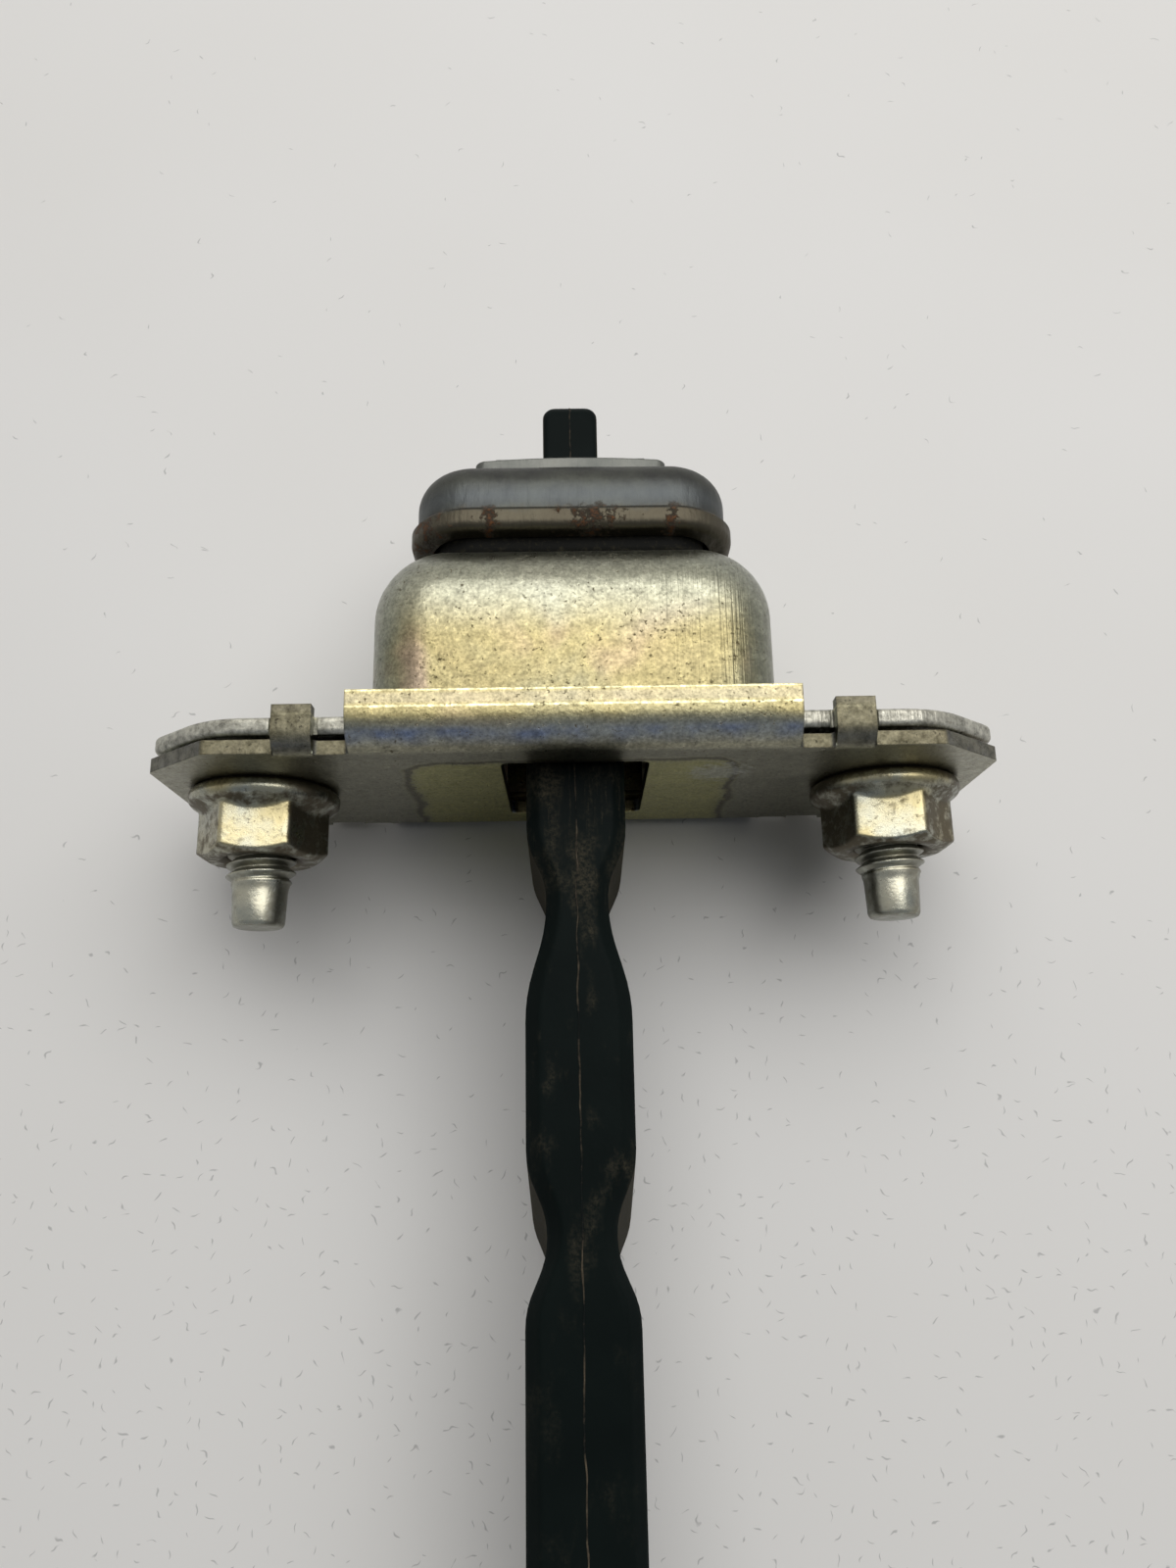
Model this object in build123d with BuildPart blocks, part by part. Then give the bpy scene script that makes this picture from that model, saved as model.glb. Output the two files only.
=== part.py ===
"""Vehicle door check: a detent arm that slides through a sprung case and pivots on a pillar bracket.

X runs from stud to stud, +Y goes into the case and +Z is up. The origin is the centre of the arm's
slot, on the face that is clamped to the door. All sizes are in millimetres.
"""

import os
from math import sqrt

from build123d import *

os.makedirs("parts", exist_ok=True)

# Front plate: a flat blank with cut corners, two wide folds and four clinch tabs
plate_length = 71.2
plate_height = 24.6
plate_thickness = 1.2
corner_run = 5.75
corner_drop = 5.0
slot_width = 12.4
slot_height = 17.2
slot_corner_radius = 0.8
fold_width = 36.2
fold_radius = 3.0
fold_reach = 4.5
tab_width = 3.2
tab_radius = 1.9
tab_overhang = 0.7
tab_notch_depth = 0.35
relief_width = 2.9
relief_depth = 0.55
relief_radius = 0.5
plate_tip_radius = 0.7

# Drawn case with its two wings
case_width = 33.8
case_height = 26.75
case_rear = 18.7
case_wall = 1.6
case_corner_radius = 6.4
case_edge_radius = 5.0
rear_slot_width = 11.0
rear_slot_height = 16.6
wing_gap = 0.45
wing_thickness = 1.55
wing_inset = 0.15
wing_edge_radius = 0.5
wing_tip_radius = 1.3
wing_shoulder_radius = 8.0
wing_bend_radius = 2.0

# Studs and flange nuts
stud_edge_distance = 7.85
stud_head_radius = 5.5
stud_head_thickness = 2.0
stud_shank_radius = 3.2
thread_radius = 3.0
thread_core_radius = 2.65
thread_shown = 1.25
thread_runout = 0.8
dog_radius = 2.4
dog_tip_radius = 2.22
dog_length = 3.8
dog_tip_chamfer = 0.3
nut_across_flats = 10.0
nut_height = 6.25
nut_flange_radius = 6.6
nut_flange_edge = 1.5
nut_flange_rise = 1.0
nut_chamfer = 0.85
nut_turn_left = -5.5
nut_turn_right = 11.0

# Arm: plastic moulding with three detents over a steel strap
arm_height = 14.6
rear_lobe_thickness = 8.3
middle_lobe_thickness = 8.6
outer_lobe_thickness = 8.8
tail_thickness = 5.0
tail_height = 12.0
neck_thickness = 5.1
rest_notch_thickness = 5.1
middle_notch_thickness = 5.1
outer_notch_thickness = 5.4
middle_notch_pitch = 20.05
outer_notch_pitch = 25.7
middle_notch_slant = 1.8
outer_notch_slant = 6.4
rest_notch_back_ramp = 6.2
rest_notch_front_ramp = 6.2
middle_notch_back_ramp = 6.0
middle_notch_front_ramp = 10.0
outer_notch_back_ramp = 6.4
outer_notch_front_ramp = 6.6
last_lobe_length = 16.4
neck_ramp = 5.0
tail_length = 7.1
tail_end_radius = 1.6
tail_edge_radius = 0.5
sleeve_edge_chamfer = 1.1
arm_reach = 105.0
core_thickness = 3.0
core_height = 9.6
core_end_cover = 2.6
eye_radius = 9.0
sleeve_to_pivot = 11.0

# Shoes, their backplates and the rubber springs in the case
shoe_lift_clearance = 0.12
shoe_thickness = 5.0
shoe_height = 16.0
shoe_guide_clearance = 0.3
shoe_nose_radius = 5.0
shoe_nose_height = 2.0
shoe_edge_radius = 0.5
backplate_thickness = 1.0
backplate_inset = 0.5
spring_height = 15.2
spring_inset = 0.8
seat_clearance = 0.05

# Stop: rubber cushion in a drawn cup, a bowed retainer and a cross pin
cushion_width = 23.6
cushion_height = 18.0
cushion_corner_radius = 3.6
cushion_gap = 0.05
cushion_edge_radius = 0.8
cup_width = 27.6
cup_height = 21.2
cup_mouth_gap = 1.55
cup_depth = 7.4
cup_wall = 1.4
cup_corner_radius = 5.2
cup_back_radius = 3.4
lip_overhang = 0.55
lip_width = 2.1
lip_edge_radius = 0.8
lip_step_chamfer = 0.4
retainer_width = 17.2
retainer_height = 15.0
retainer_thickness = 1.0
retainer_bow = 0.35
stop_pin_radius = 2.0
stop_pin_length = 15.0
stop_pin_chamfer = 0.4
tail_clearance = 0.2

# Pivot: flanged bushes, rivet and pillar bracket
bush_wall = 1.1
bush_flange_thickness = 0.8
bush_flange_radius = 7.4
rivet_radius = 4.0
rivet_head_radius = 6.4
rivet_head_height = 2.0
rivet_crown_radius = 1.4
running_clearance = 0.05
bracket_thickness = 2.5
bracket_bend_radius = 1.2
ear_radius = 8.0
base_front_length = 8.0
foot_hole_distance = 18.0
foot_hole_radius = 4.5
foot_radius = 9.5
foot_neck_radius = 4.0

# Places that follow from the sizes
wing_front = plate_thickness + wing_gap
wing_back = wing_front + wing_thickness
wing_half_height = plate_height / 2 - wing_inset
fold_top = case_height / 2 + plate_thickness
fold_line = fold_top - fold_radius
tab_floor = wing_half_height - tab_notch_depth
tab_distance = fold_width / 2 + relief_width + tab_width / 2
relief_x = (fold_width + relief_width) / 2
tab_top = tab_floor + seat_clearance + plate_thickness
tab_line = tab_top - tab_radius
tab_reach = wing_back + tab_overhang
case_inner_half_width = case_width / 2 - case_wall
case_inner_rear = case_rear - case_wall
shoe_y = (plate_thickness + case_inner_rear) / 2

stud_spacing = plate_length - 2 * stud_edge_distance
widest_half = max(rear_lobe_thickness, middle_lobe_thickness, outer_lobe_thickness) / 2
neck_half = neck_thickness / 2
cushion_front = case_rear + cushion_gap
cup_mouth = case_rear + cup_mouth_gap
cup_back = cup_mouth + cup_depth
pin_y = cup_back + retainer_bow + retainer_thickness + stop_pin_radius
tail_end = cup_back + retainer_thickness + tail_length
pivot_y = -arm_reach
sleeve_front = pivot_y + sleeve_to_pivot
middle_notch_y = shoe_y - middle_notch_pitch
outer_notch_y = middle_notch_y - outer_notch_pitch
neck_start = outer_notch_y - outer_notch_front_ramp - last_lobe_length

nose_x = widest_half + shoe_lift_clearance
shoulder_x = nose_x + shoe_nose_height
shoe_back_x = nose_x + shoe_thickness
backplate_x = shoe_back_x + backplate_thickness
shoe_front = plate_thickness + shoe_guide_clearance
shoe_rear = case_inner_rear - shoe_guide_clearance
nose_half_width = sqrt(2 * shoe_nose_radius * shoe_nose_height - shoe_nose_height**2)

bush_bore_radius = rivet_radius + running_clearance
bush_radius = bush_bore_radius + bush_wall
bush_end = core_thickness / 2 + bush_flange_thickness
ear_inner = bush_end + running_clearance
ear_outer = ear_inner + bracket_thickness
base_bottom = -fold_top
base_top = base_bottom + bracket_thickness


def plane_at(y):
    """Plane across the arm at depth y: its local x is X, its local y is Z and it faces the front."""
    return Plane.XZ.offset(-y)


def save(part, name):
    """Labels a finished piece and writes it to its own file."""
    part.label = name
    export_step(part, f"parts/{name}.step")
    print(f"{name}: {part.volume:.0f} cubic mm")


def cut_corner_outline(inset):
    """Closed outline of a plate with four cut corners, inset from the front plate's edge."""
    half_length = plate_length / 2 - inset
    half_height = plate_height / 2 - inset
    Polyline(
        (half_length - corner_run, half_height),
        (half_length, half_height - corner_drop),
        (half_length, corner_drop - half_height),
        (half_length - corner_run, -half_height),
        (corner_run - half_length, -half_height),
        (-half_length, corner_drop - half_height),
        (-half_length, half_height - corner_drop),
        (corner_run - half_length, half_height),
        close=True,
    )


def folded_strip(line, radius, reach):
    """Section of a sheet that leaves the front plate at height line and bends back to depth reach."""
    top = line + radius
    under = top - plate_thickness
    outer_bend = RadiusArc((0, line), (radius, top), radius)
    Polyline((radius, top), (reach, top), (reach, under), (radius, under))
    inner_bend = RadiusArc((radius, under), (plate_thickness, line), plate_thickness - radius)
    Line(inner_bend @ 1, outer_bend @ 0)


# Front plate
with BuildPart() as front_plate:
    with BuildSketch(plane_at(plate_thickness)) as plate_blank:
        with BuildLine():
            cut_corner_outline(0)
        make_face()
        fillet(plate_blank.vertices(), plate_tip_radius)
        Rectangle(fold_width, plate_height, mode=Mode.SUBTRACT)
        Rectangle(fold_width, 2 * fold_line)
        for side in (-1, 1):
            for end in (-1, 1):
                with Locations((side * tab_distance, end * (tab_line + plate_height / 2))):
                    Rectangle(tab_width, plate_height, mode=Mode.SUBTRACT)
                with Locations((side * relief_x, end * plate_height / 2)):
                    RectangleRounded(relief_width, 2 * relief_depth, relief_radius, mode=Mode.SUBTRACT)
        RectangleRounded(slot_width, slot_height, slot_corner_radius, mode=Mode.SUBTRACT)
        with Locations((-stud_spacing / 2, 0), (stud_spacing / 2, 0)):
            Circle(stud_shank_radius, mode=Mode.SUBTRACT)
    extrude(amount=plate_thickness)
    with BuildSketch(Plane.YZ):
        with BuildLine():
            folded_strip(fold_line, fold_radius, fold_reach)
        make_face()
        mirror(about=Plane.XZ)
    extrude(amount=fold_width / 2, both=True)
    for side in (-1, 1):
        with BuildSketch(Plane.YZ.offset(side * tab_distance)):
            with BuildLine():
                folded_strip(tab_line, tab_radius, tab_reach)
            make_face()
            mirror(about=Plane.XZ)
        extrude(amount=tab_width / 2, both=True)
save(front_plate.part, "front_plate")

# Wings beside the mouth of the case, with rolled edges
with BuildPart() as wings:
    with BuildSketch(plane_at(wing_back)) as wing_blank:
        with BuildLine():
            cut_corner_outline(wing_inset)
        make_face()
        across = wing_blank.vertices().group_by(Axis.X)
        fillet(across[1] + across[-2], wing_shoulder_radius)
        for row in (0, -1):
            fillet(wing_blank.vertices().group_by(Axis.X)[row], wing_tip_radius)
        Rectangle(2 * case_inner_half_width, plate_height, mode=Mode.SUBTRACT)
    extrude(amount=wing_thickness)
    fillet(wings.faces().filter_by(Axis.Y).edges(), wing_edge_radius)
    with BuildSketch(plane_at(wing_back)):
        for side in (-1, 1):
            for end in (-1, 1):
                with Locations((side * tab_distance, end * (tab_floor + plate_height / 2))):
                    Rectangle(tab_width + 2 * tab_notch_depth, plate_height)
        with Locations((-stud_spacing / 2, 0), (stud_spacing / 2, 0)):
            Circle(stud_shank_radius)
    extrude(amount=wing_thickness, mode=Mode.SUBTRACT)

# Drawn case: a rounded box open to the front, with wings beside its mouth
with BuildPart() as case_shell:
    with BuildSketch(Plane.XY) as case_plan:
        with Locations((0, (plate_thickness + case_rear) / 2)):
            Rectangle(case_width, case_rear - plate_thickness)
        fillet(case_plan.vertices().group_by(Axis.Y)[-1], case_corner_radius)
    extrude(amount=case_height / 2, both=True)
    rims = case_shell.faces().filter_by(Axis.Z).edges()
    fillet(rims - rims.group_by(Axis.Y)[0], case_edge_radius)
    mouth = case_shell.faces().sort_by(Axis.Y)[0]
    offset(amount=-case_wall, openings=mouth)
    with BuildSketch(Plane.YZ):
        for end in (-1, 1):
            with Locations(((plate_thickness + fold_radius) / 2, end * (fold_line + fold_top) / 2)):
                Rectangle(fold_radius - plate_thickness, fold_radius)
    extrude(amount=case_width / 2, both=True, mode=Mode.SUBTRACT)
    with BuildSketch(plane_at(case_rear)):
        RectangleRounded(rear_slot_width, rear_slot_height, slot_corner_radius)
    extrude(amount=2 * case_wall, both=True, mode=Mode.SUBTRACT)
    add(wings.part)
    with BuildSketch(Plane.XY) as wing_bend:
        with BuildLine():
            Polyline(
                (case_width / 2, wing_back + wing_bend_radius),
                (case_width / 2, wing_back),
                (case_width / 2 + wing_bend_radius, wing_back),
            )
            RadiusArc(
                (case_width / 2 + wing_bend_radius, wing_back),
                (case_width / 2, wing_back + wing_bend_radius),
                wing_bend_radius,
            )
        make_face()
        mirror(about=Plane.YZ)
    extrude(amount=case_height / 2 - case_edge_radius, both=True)
save(case_shell.part, "case_shell")


def make_stud(name, x):
    """Pressed-in stud: a flat head behind the wing, a plain shank, the thread and a dog point."""
    nut_end = -nut_height
    thread_end = nut_end - thread_shown
    dog_start = thread_end - thread_runout
    tip = dog_start - dog_length
    with BuildPart() as stud:
        with BuildSketch(Plane.XY):
            with BuildLine():
                Polyline(
                    (x, wing_back + stud_head_thickness),
                    (x + stud_head_radius, wing_back + stud_head_thickness),
                    (x + stud_head_radius, wing_back),
                    (x + stud_shank_radius, wing_back),
                    (x + stud_shank_radius, 0),
                    (x + thread_core_radius, 0),
                    (x + thread_core_radius, nut_end),
                    (x + thread_radius, nut_end),
                    (x + thread_radius, thread_end),
                    (x + dog_radius, dog_start),
                    (x + dog_tip_radius, tip + dog_tip_chamfer),
                    (x + dog_tip_radius - dog_tip_chamfer, tip),
                    (x, tip),
                    close=True,
                )
            make_face()
        revolve(axis=Axis((x, 0, 0), (0, 1, 0)))
        chamfer(stud.edges().filter_by(GeomType.CIRCLE).group_by(Axis.Y)[-1], dog_tip_chamfer)
    save(stud.part, name)


make_stud("stud_left", -stud_spacing / 2)
make_stud("stud_right", stud_spacing / 2)


def make_nut(name, x, turn):
    """Flange nut: a chamfered hexagon on a dished round flange, turned about the stud by some degrees."""
    corner_radius = nut_across_flats / sqrt(3)
    flange_top = nut_flange_edge + nut_flange_rise
    with BuildPart() as nut:
        with BuildSketch(Plane.XZ):
            with Locations((x, 0)):
                RegularPolygon(nut_across_flats / 2, 6, major_radius=False, rotation=turn)
        extrude(amount=nut_height)
        with BuildSketch(Plane.XY):
            with BuildLine():
                Polyline(
                    (x, 0),
                    (x + nut_flange_radius, 0),
                    (x + corner_radius, -nut_height + nut_chamfer),
                    (x + nut_across_flats / 2 - nut_chamfer / 2, -nut_height),
                    (x, -nut_height),
                    close=True,
                )
            make_face()
        revolve(axis=Axis((x, 0, 0), (0, 1, 0)), mode=Mode.INTERSECT)
        with BuildSketch(Plane.XY):
            with BuildLine():
                flange_side = Polyline(
                    (x, -flange_top),
                    (x, 0),
                    (x + nut_flange_radius - nut_flange_edge / 4, 0),
                    (x + nut_flange_radius, -nut_flange_edge / 4),
                    (x + nut_flange_radius, -nut_flange_edge),
                )
                dish = ThreePointArc(
                    (x + nut_flange_radius, -nut_flange_edge),
                    (x + corner_radius, -nut_flange_edge - nut_flange_rise / 3),
                    (x + nut_across_flats / 2 - nut_flange_rise / 4, -flange_top),
                )
                Line(dish @ 1, flange_side @ 0)
            make_face()
        revolve(axis=Axis((x, 0, 0), (0, 1, 0)))
        with BuildSketch(Plane.XZ):
            with Locations((x, 0)):
                Circle(thread_core_radius)
        extrude(amount=nut_height, mode=Mode.SUBTRACT)
    save(nut.part, name)


make_nut("nut_left", -stud_spacing / 2, nut_turn_left)
make_nut("nut_right", stud_spacing / 2, nut_turn_right)

# Steel strap of the arm, with the pivot eye and the hole for the stop pin
core_end = tail_end - core_end_cover
with BuildPart() as arm_core:
    with BuildSketch(Plane.YZ):
        with Locations(((pivot_y + core_end) / 2, 0)):
            Rectangle(core_end - pivot_y, core_height)
        with Locations((pivot_y, 0)):
            Circle(eye_radius)
            Circle(bush_radius, mode=Mode.SUBTRACT)
        with Locations((pin_y, 0)):
            Circle(stop_pin_radius, mode=Mode.SUBTRACT)
    extrude(amount=core_thickness / 2, both=True)
save(arm_core.part, "arm_core")


def ramp(start, end):
    """S-shaped flank between a lobe and a notch, level at both ends. Points are (half thickness, y)."""
    reach = (end[1] - start[1]) * 0.45
    Bezier(start, (start[0], start[1] + reach), (end[0], end[1] - reach), end)


# Detents from the tail to the pivot: place, slant, thickness, ramps and the lobe in front of each
detents = [
    (shoe_y, 0, rest_notch_thickness, rest_notch_back_ramp, rest_notch_front_ramp, rear_lobe_thickness),
    (
        middle_notch_y,
        middle_notch_slant,
        middle_notch_thickness,
        middle_notch_back_ramp,
        middle_notch_front_ramp,
        middle_lobe_thickness,
    ),
    (
        outer_notch_y,
        outer_notch_slant,
        outer_notch_thickness,
        outer_notch_back_ramp,
        outer_notch_front_ramp,
        outer_lobe_thickness,
    ),
]


def arm_half_outline(slant_share, inset):
    """Half outline of the moulding at one height. A slanted notch lies further forward lower down."""
    lobe = rear_lobe_thickness / 2 - inset
    from_y = case_rear
    Line((0, from_y), (lobe, from_y))
    for notch_y, slant, thickness, back_ramp, front_ramp, next_lobe in detents:
        y = notch_y - slant * slant_share
        Line((lobe, from_y), (lobe, y + back_ramp))
        ramp((lobe, y + back_ramp), (thickness / 2 - inset, y))
        lobe_ahead = next_lobe / 2 - inset
        ramp((thickness / 2 - inset, y), (lobe_ahead, y - front_ramp))
        lobe = lobe_ahead
        from_y = y - front_ramp
    Line((lobe, from_y), (lobe, neck_start))
    ramp((lobe, neck_start), (neck_half - inset, neck_start - neck_ramp))
    Polyline(
        (neck_half - inset, neck_start - neck_ramp),
        (neck_half - inset, sleeve_front),
        (0, sleeve_front),
        (0, case_rear),
    )


# Plastic moulding of the arm: a body between four outlines, and a slimmer tail
arm_half_height = arm_height / 2
levels = [
    (-arm_half_height, sleeve_edge_chamfer),
    (sleeve_edge_chamfer - arm_half_height, 0),
    (arm_half_height - sleeve_edge_chamfer, 0),
    (arm_half_height, sleeve_edge_chamfer),
]
with BuildPart() as arm_sleeve:
    for level, inset in levels:
        with BuildSketch(Plane.XY.offset(level)):
            with BuildLine():
                arm_half_outline(0.5 - level / arm_height, inset)
            make_face()
    loft(ruled=True)
    mirror(about=Plane.YZ)
    with BuildSketch(plane_at(tail_end)):
        RectangleRounded(tail_thickness, tail_height, tail_edge_radius)
    extrude(amount=tail_end - case_rear + tail_thickness)
    tail_corners = arm_sleeve.faces().sort_by(Axis.Y)[-1].edges().filter_by(Axis.X)
    fillet(tail_corners, tail_end_radius)
    with BuildSketch(Plane.YZ):
        with Locations(((sleeve_front + core_end) / 2, 0)):
            Rectangle(core_end - sleeve_front, core_height)
    extrude(amount=core_thickness / 2, both=True, mode=Mode.SUBTRACT)
    with BuildSketch(Plane.YZ):
        with Locations((pin_y, 0)):
            Circle(stop_pin_radius)
    extrude(amount=tail_thickness, both=True, mode=Mode.SUBTRACT)
save(arm_sleeve.part, "arm_sleeve")


def make_press_set(side, name):
    """Shoe with a round nose, its backplate and its rubber spring, on one side of the arm."""
    with BuildPart() as shoe:
        with BuildSketch(Plane.XY):
            with BuildLine():
                nose = ThreePointArc(
                    (side * shoulder_x, shoe_y - nose_half_width),
                    (side * nose_x, shoe_y),
                    (side * shoulder_x, shoe_y + nose_half_width),
                )
                Polyline(
                    nose @ 1,
                    (side * shoulder_x, shoe_rear),
                    (side * shoe_back_x, shoe_rear),
                    (side * shoe_back_x, shoe_front),
                    (side * shoulder_x, shoe_front),
                    nose @ 0,
                )
            make_face()
        extrude(amount=shoe_height / 2, both=True)
        chamfer(shoe.faces().filter_by(Axis.Z).edges(), shoe_edge_radius)
    save(shoe.part, f"shoe_{name}")

    with BuildPart() as backplate:
        with BuildSketch(Plane.YZ.offset(side * (shoe_back_x + backplate_thickness / 2))):
            with Locations((shoe_y, 0)):
                RectangleRounded(
                    shoe_rear - shoe_front - 2 * backplate_inset, shoe_height, backplate_thickness
                )
        extrude(amount=backplate_thickness / 2, both=True)
    save(backplate.part, f"shoe_backplate_{name}")

    inner_x = backplate_x + seat_clearance
    outer_x = case_inner_half_width
    front = shoe_front + spring_inset
    rear = shoe_rear - spring_inset
    with BuildPart() as spring:
        with BuildSketch(Plane.XY):
            with Locations((side * (inner_x + outer_x) / 2, (front + rear) / 2)):
                Rectangle(outer_x - inner_x, rear - front)
            with Locations((0, case_inner_rear - case_rear)):
                RectangleRounded(
                    2 * outer_x,
                    2 * case_rear,
                    case_corner_radius - case_wall + spring_inset / 4,
                    mode=Mode.INTERSECT,
                )
        extrude(amount=spring_height / 2, both=True)
        chamfer(spring.faces().filter_by(Axis.Z).edges(), shoe_edge_radius)
    save(spring.part, f"rubber_spring_{name}")


make_press_set(-1, "left")
make_press_set(1, "right")


tail_opening = (tail_thickness + 2 * tail_clearance, tail_height + 2 * tail_clearance)

# Rubber cushion of the stop
with BuildPart() as stop_cushion:
    with BuildSketch(plane_at(cup_back - cup_wall)):
        RectangleRounded(cushion_width, cushion_height, cushion_corner_radius)
    extrude(amount=cup_back - cup_wall - cushion_front)
    fillet(stop_cushion.faces().sort_by(Axis.Y)[0].edges(), cushion_edge_radius)
    fillet(stop_cushion.faces().sort_by(Axis.Y)[-1].edges(), cup_back_radius - cup_wall)
    with BuildSketch(plane_at(cushion_front)):
        Rectangle(*tail_opening)
    extrude(amount=cup_back - cushion_front, both=True, mode=Mode.SUBTRACT)
save(stop_cushion.part, "stop_cushion")

# Drawn cup of the stop, open towards the case, with a turned-out lip
with BuildPart() as stop_cup:
    with BuildSketch(plane_at(cup_back)):
        RectangleRounded(cup_width, cup_height, cup_corner_radius)
    extrude(amount=cup_depth)
    fillet(stop_cup.faces().sort_by(Axis.Y)[-1].edges(), cup_back_radius)
    offset(amount=-cup_wall, openings=stop_cup.faces().sort_by(Axis.Y)[0])
    with BuildSketch(plane_at(cup_mouth + lip_width)):
        RectangleRounded(
            cup_width + 2 * lip_overhang, cup_height + 2 * lip_overhang, cup_corner_radius + lip_overhang
        )
        RectangleRounded(
            cup_width - 2 * cup_wall,
            cup_height - 2 * cup_wall,
            cup_corner_radius - cup_wall,
            mode=Mode.SUBTRACT,
        )
    extrude(amount=lip_width)
    lip_faces = stop_cup.faces().filter_by(Axis.Y).sort_by(Axis.Y)
    fillet(lip_faces[0].outer_wire().edges(), lip_edge_radius)
    chamfer(lip_faces[1].outer_wire().edges(), lip_step_chamfer)
    with BuildSketch(plane_at(cup_back)):
        Rectangle(*tail_opening)
    extrude(amount=2 * cup_wall, both=True, mode=Mode.SUBTRACT)
save(stop_cup.part, "stop_cup")

# Bowed retainer plate behind the cup
with BuildPart() as stop_retainer:
    with BuildSketch(Plane.XY):
        with BuildLine():
            front_bow = ThreePointArc(
                (-retainer_width / 2, cup_back), (0, cup_back + retainer_bow), (retainer_width / 2, cup_back)
            )
            back_bow = ThreePointArc(
                (-retainer_width / 2, cup_back + retainer_thickness),
                (0, cup_back + retainer_bow + retainer_thickness),
                (retainer_width / 2, cup_back + retainer_thickness),
            )
            Line(front_bow @ 0, back_bow @ 0)
            Line(front_bow @ 1, back_bow @ 1)
        make_face()
    extrude(amount=retainer_height / 2, both=True)
    fillet(stop_retainer.edges().filter_by(Axis.Y), retainer_thickness)
    with BuildSketch(plane_at(cup_back)):
        Rectangle(*tail_opening)
    extrude(amount=2 * (retainer_bow + retainer_thickness), both=True, mode=Mode.SUBTRACT)
save(stop_retainer.part, "stop_retainer")

# Cross pin through the tail
with BuildPart() as stop_pin:
    with BuildSketch(Plane.YZ):
        with Locations((pin_y, 0)):
            Circle(stop_pin_radius)
    extrude(amount=stop_pin_length / 2, both=True)
    chamfer(stop_pin.edges().filter_by(GeomType.CIRCLE), stop_pin_chamfer)
save(stop_pin.part, "stop_pin")


def make_bush(side, name):
    """Flanged half bush, pushed into the arm's eye from one side."""
    with BuildPart() as bush:
        with BuildSketch(Plane.YZ.offset(side * core_thickness / 2)):
            with Locations((pivot_y, 0)):
                Circle(bush_flange_radius)
        extrude(amount=side * bush_flange_thickness)
        with BuildSketch(Plane.YZ):
            with Locations((pivot_y, 0)):
                Circle(bush_radius)
        extrude(amount=side * core_thickness / 2)
        with BuildSketch(Plane.YZ):
            with Locations((pivot_y, 0)):
                Circle(bush_bore_radius)
        extrude(amount=side * bush_end, mode=Mode.SUBTRACT)
    save(bush.part, f"pivot_bush_{name}")


make_bush(-1, "left")
make_bush(1, "right")

# Rivet through the bracket's ears and the bushes
with BuildPart() as pivot_rivet:
    with BuildSketch(Plane.YZ.offset(-ear_outer)):
        with Locations((pivot_y, 0)):
            Circle(rivet_radius)
    extrude(amount=2 * ear_outer)
    for side in (-1, 1):
        with BuildSketch(Plane.YZ.offset(side * ear_outer)):
            with Locations((pivot_y, 0)):
                Circle(rivet_head_radius)
        extrude(amount=side * rivet_head_height)
    crowns = pivot_rivet.faces().filter_by(Axis.X)
    fillet((crowns.sort_by(Axis.X)[0] + crowns.sort_by(Axis.X)[-1]).edges(), rivet_crown_radius)
save(pivot_rivet.part, "pivot_rivet")

# Pillar bracket: two ears on a base that ends in a round foot with the bolt hole
foot_y = pivot_y - foot_hole_distance
with BuildPart() as pillar_bracket:
    with BuildSketch(Plane.XY.offset(base_bottom)) as base_plan:
        with Locations((0, (pivot_y + base_front_length + foot_y) / 2)):
            Rectangle(2 * ear_outer, pivot_y + base_front_length - foot_y)
        with Locations((0, foot_y)):
            Circle(foot_radius)
        fillet(base_plan.vertices().group_by(Axis.Y)[-2], foot_neck_radius)
    extrude(amount=bracket_thickness)
    for side in (-1, 1):
        with BuildSketch(Plane.YZ.offset(side * (ear_inner + ear_outer) / 2)):
            with Locations((pivot_y, 0)):
                Circle(ear_radius)
            with Locations((pivot_y, base_bottom / 2)):
                Rectangle(2 * ear_radius, -base_bottom)
        extrude(amount=bracket_thickness / 2, both=True)
    bends = pillar_bracket.edges().filter_by(Axis.Y).group_by(Axis.Z)[0]
    fillet(bends, bracket_bend_radius)
    with BuildSketch(Plane.YZ):
        with Locations((pivot_y, 0)):
            Circle(rivet_radius)
    extrude(amount=2 * ear_outer, both=True, mode=Mode.SUBTRACT)
    with BuildSketch(Plane.XY.offset(base_bottom)):
        with Locations((0, foot_y)):
            Circle(foot_hole_radius)
    extrude(amount=bracket_thickness, mode=Mode.SUBTRACT)
save(pillar_bracket.part, "pillar_bracket")

print(f"shoe press travel {nose_x - rest_notch_thickness / 2:.2f}, shoe centre at y {shoe_y:.2f}")
print(f"pivot at y {pivot_y:.2f}, base face at z {base_bottom:.2f}, foot hole at y {foot_y:.2f}")
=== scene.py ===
# %% [markdown]
# # Dressing a vehicle door check
# A door check limits and holds the swing of a vehicle door. A black plastic arm slides through a sprung
# steel case, and the pinched places of the arm are where the door stays put. The solids come from CAD as a
# fixed frame, in metres. This lesson gives each solid its finish, and remakes the few pieces whose small
# forms matter most to the eye: the threads, the nuts and the rubber.

# %% Load the frame
from math import cos, exp, log, pi, radians, sin

import bmesh
import bpy
from mathutils import Matrix, Vector, noise


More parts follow.
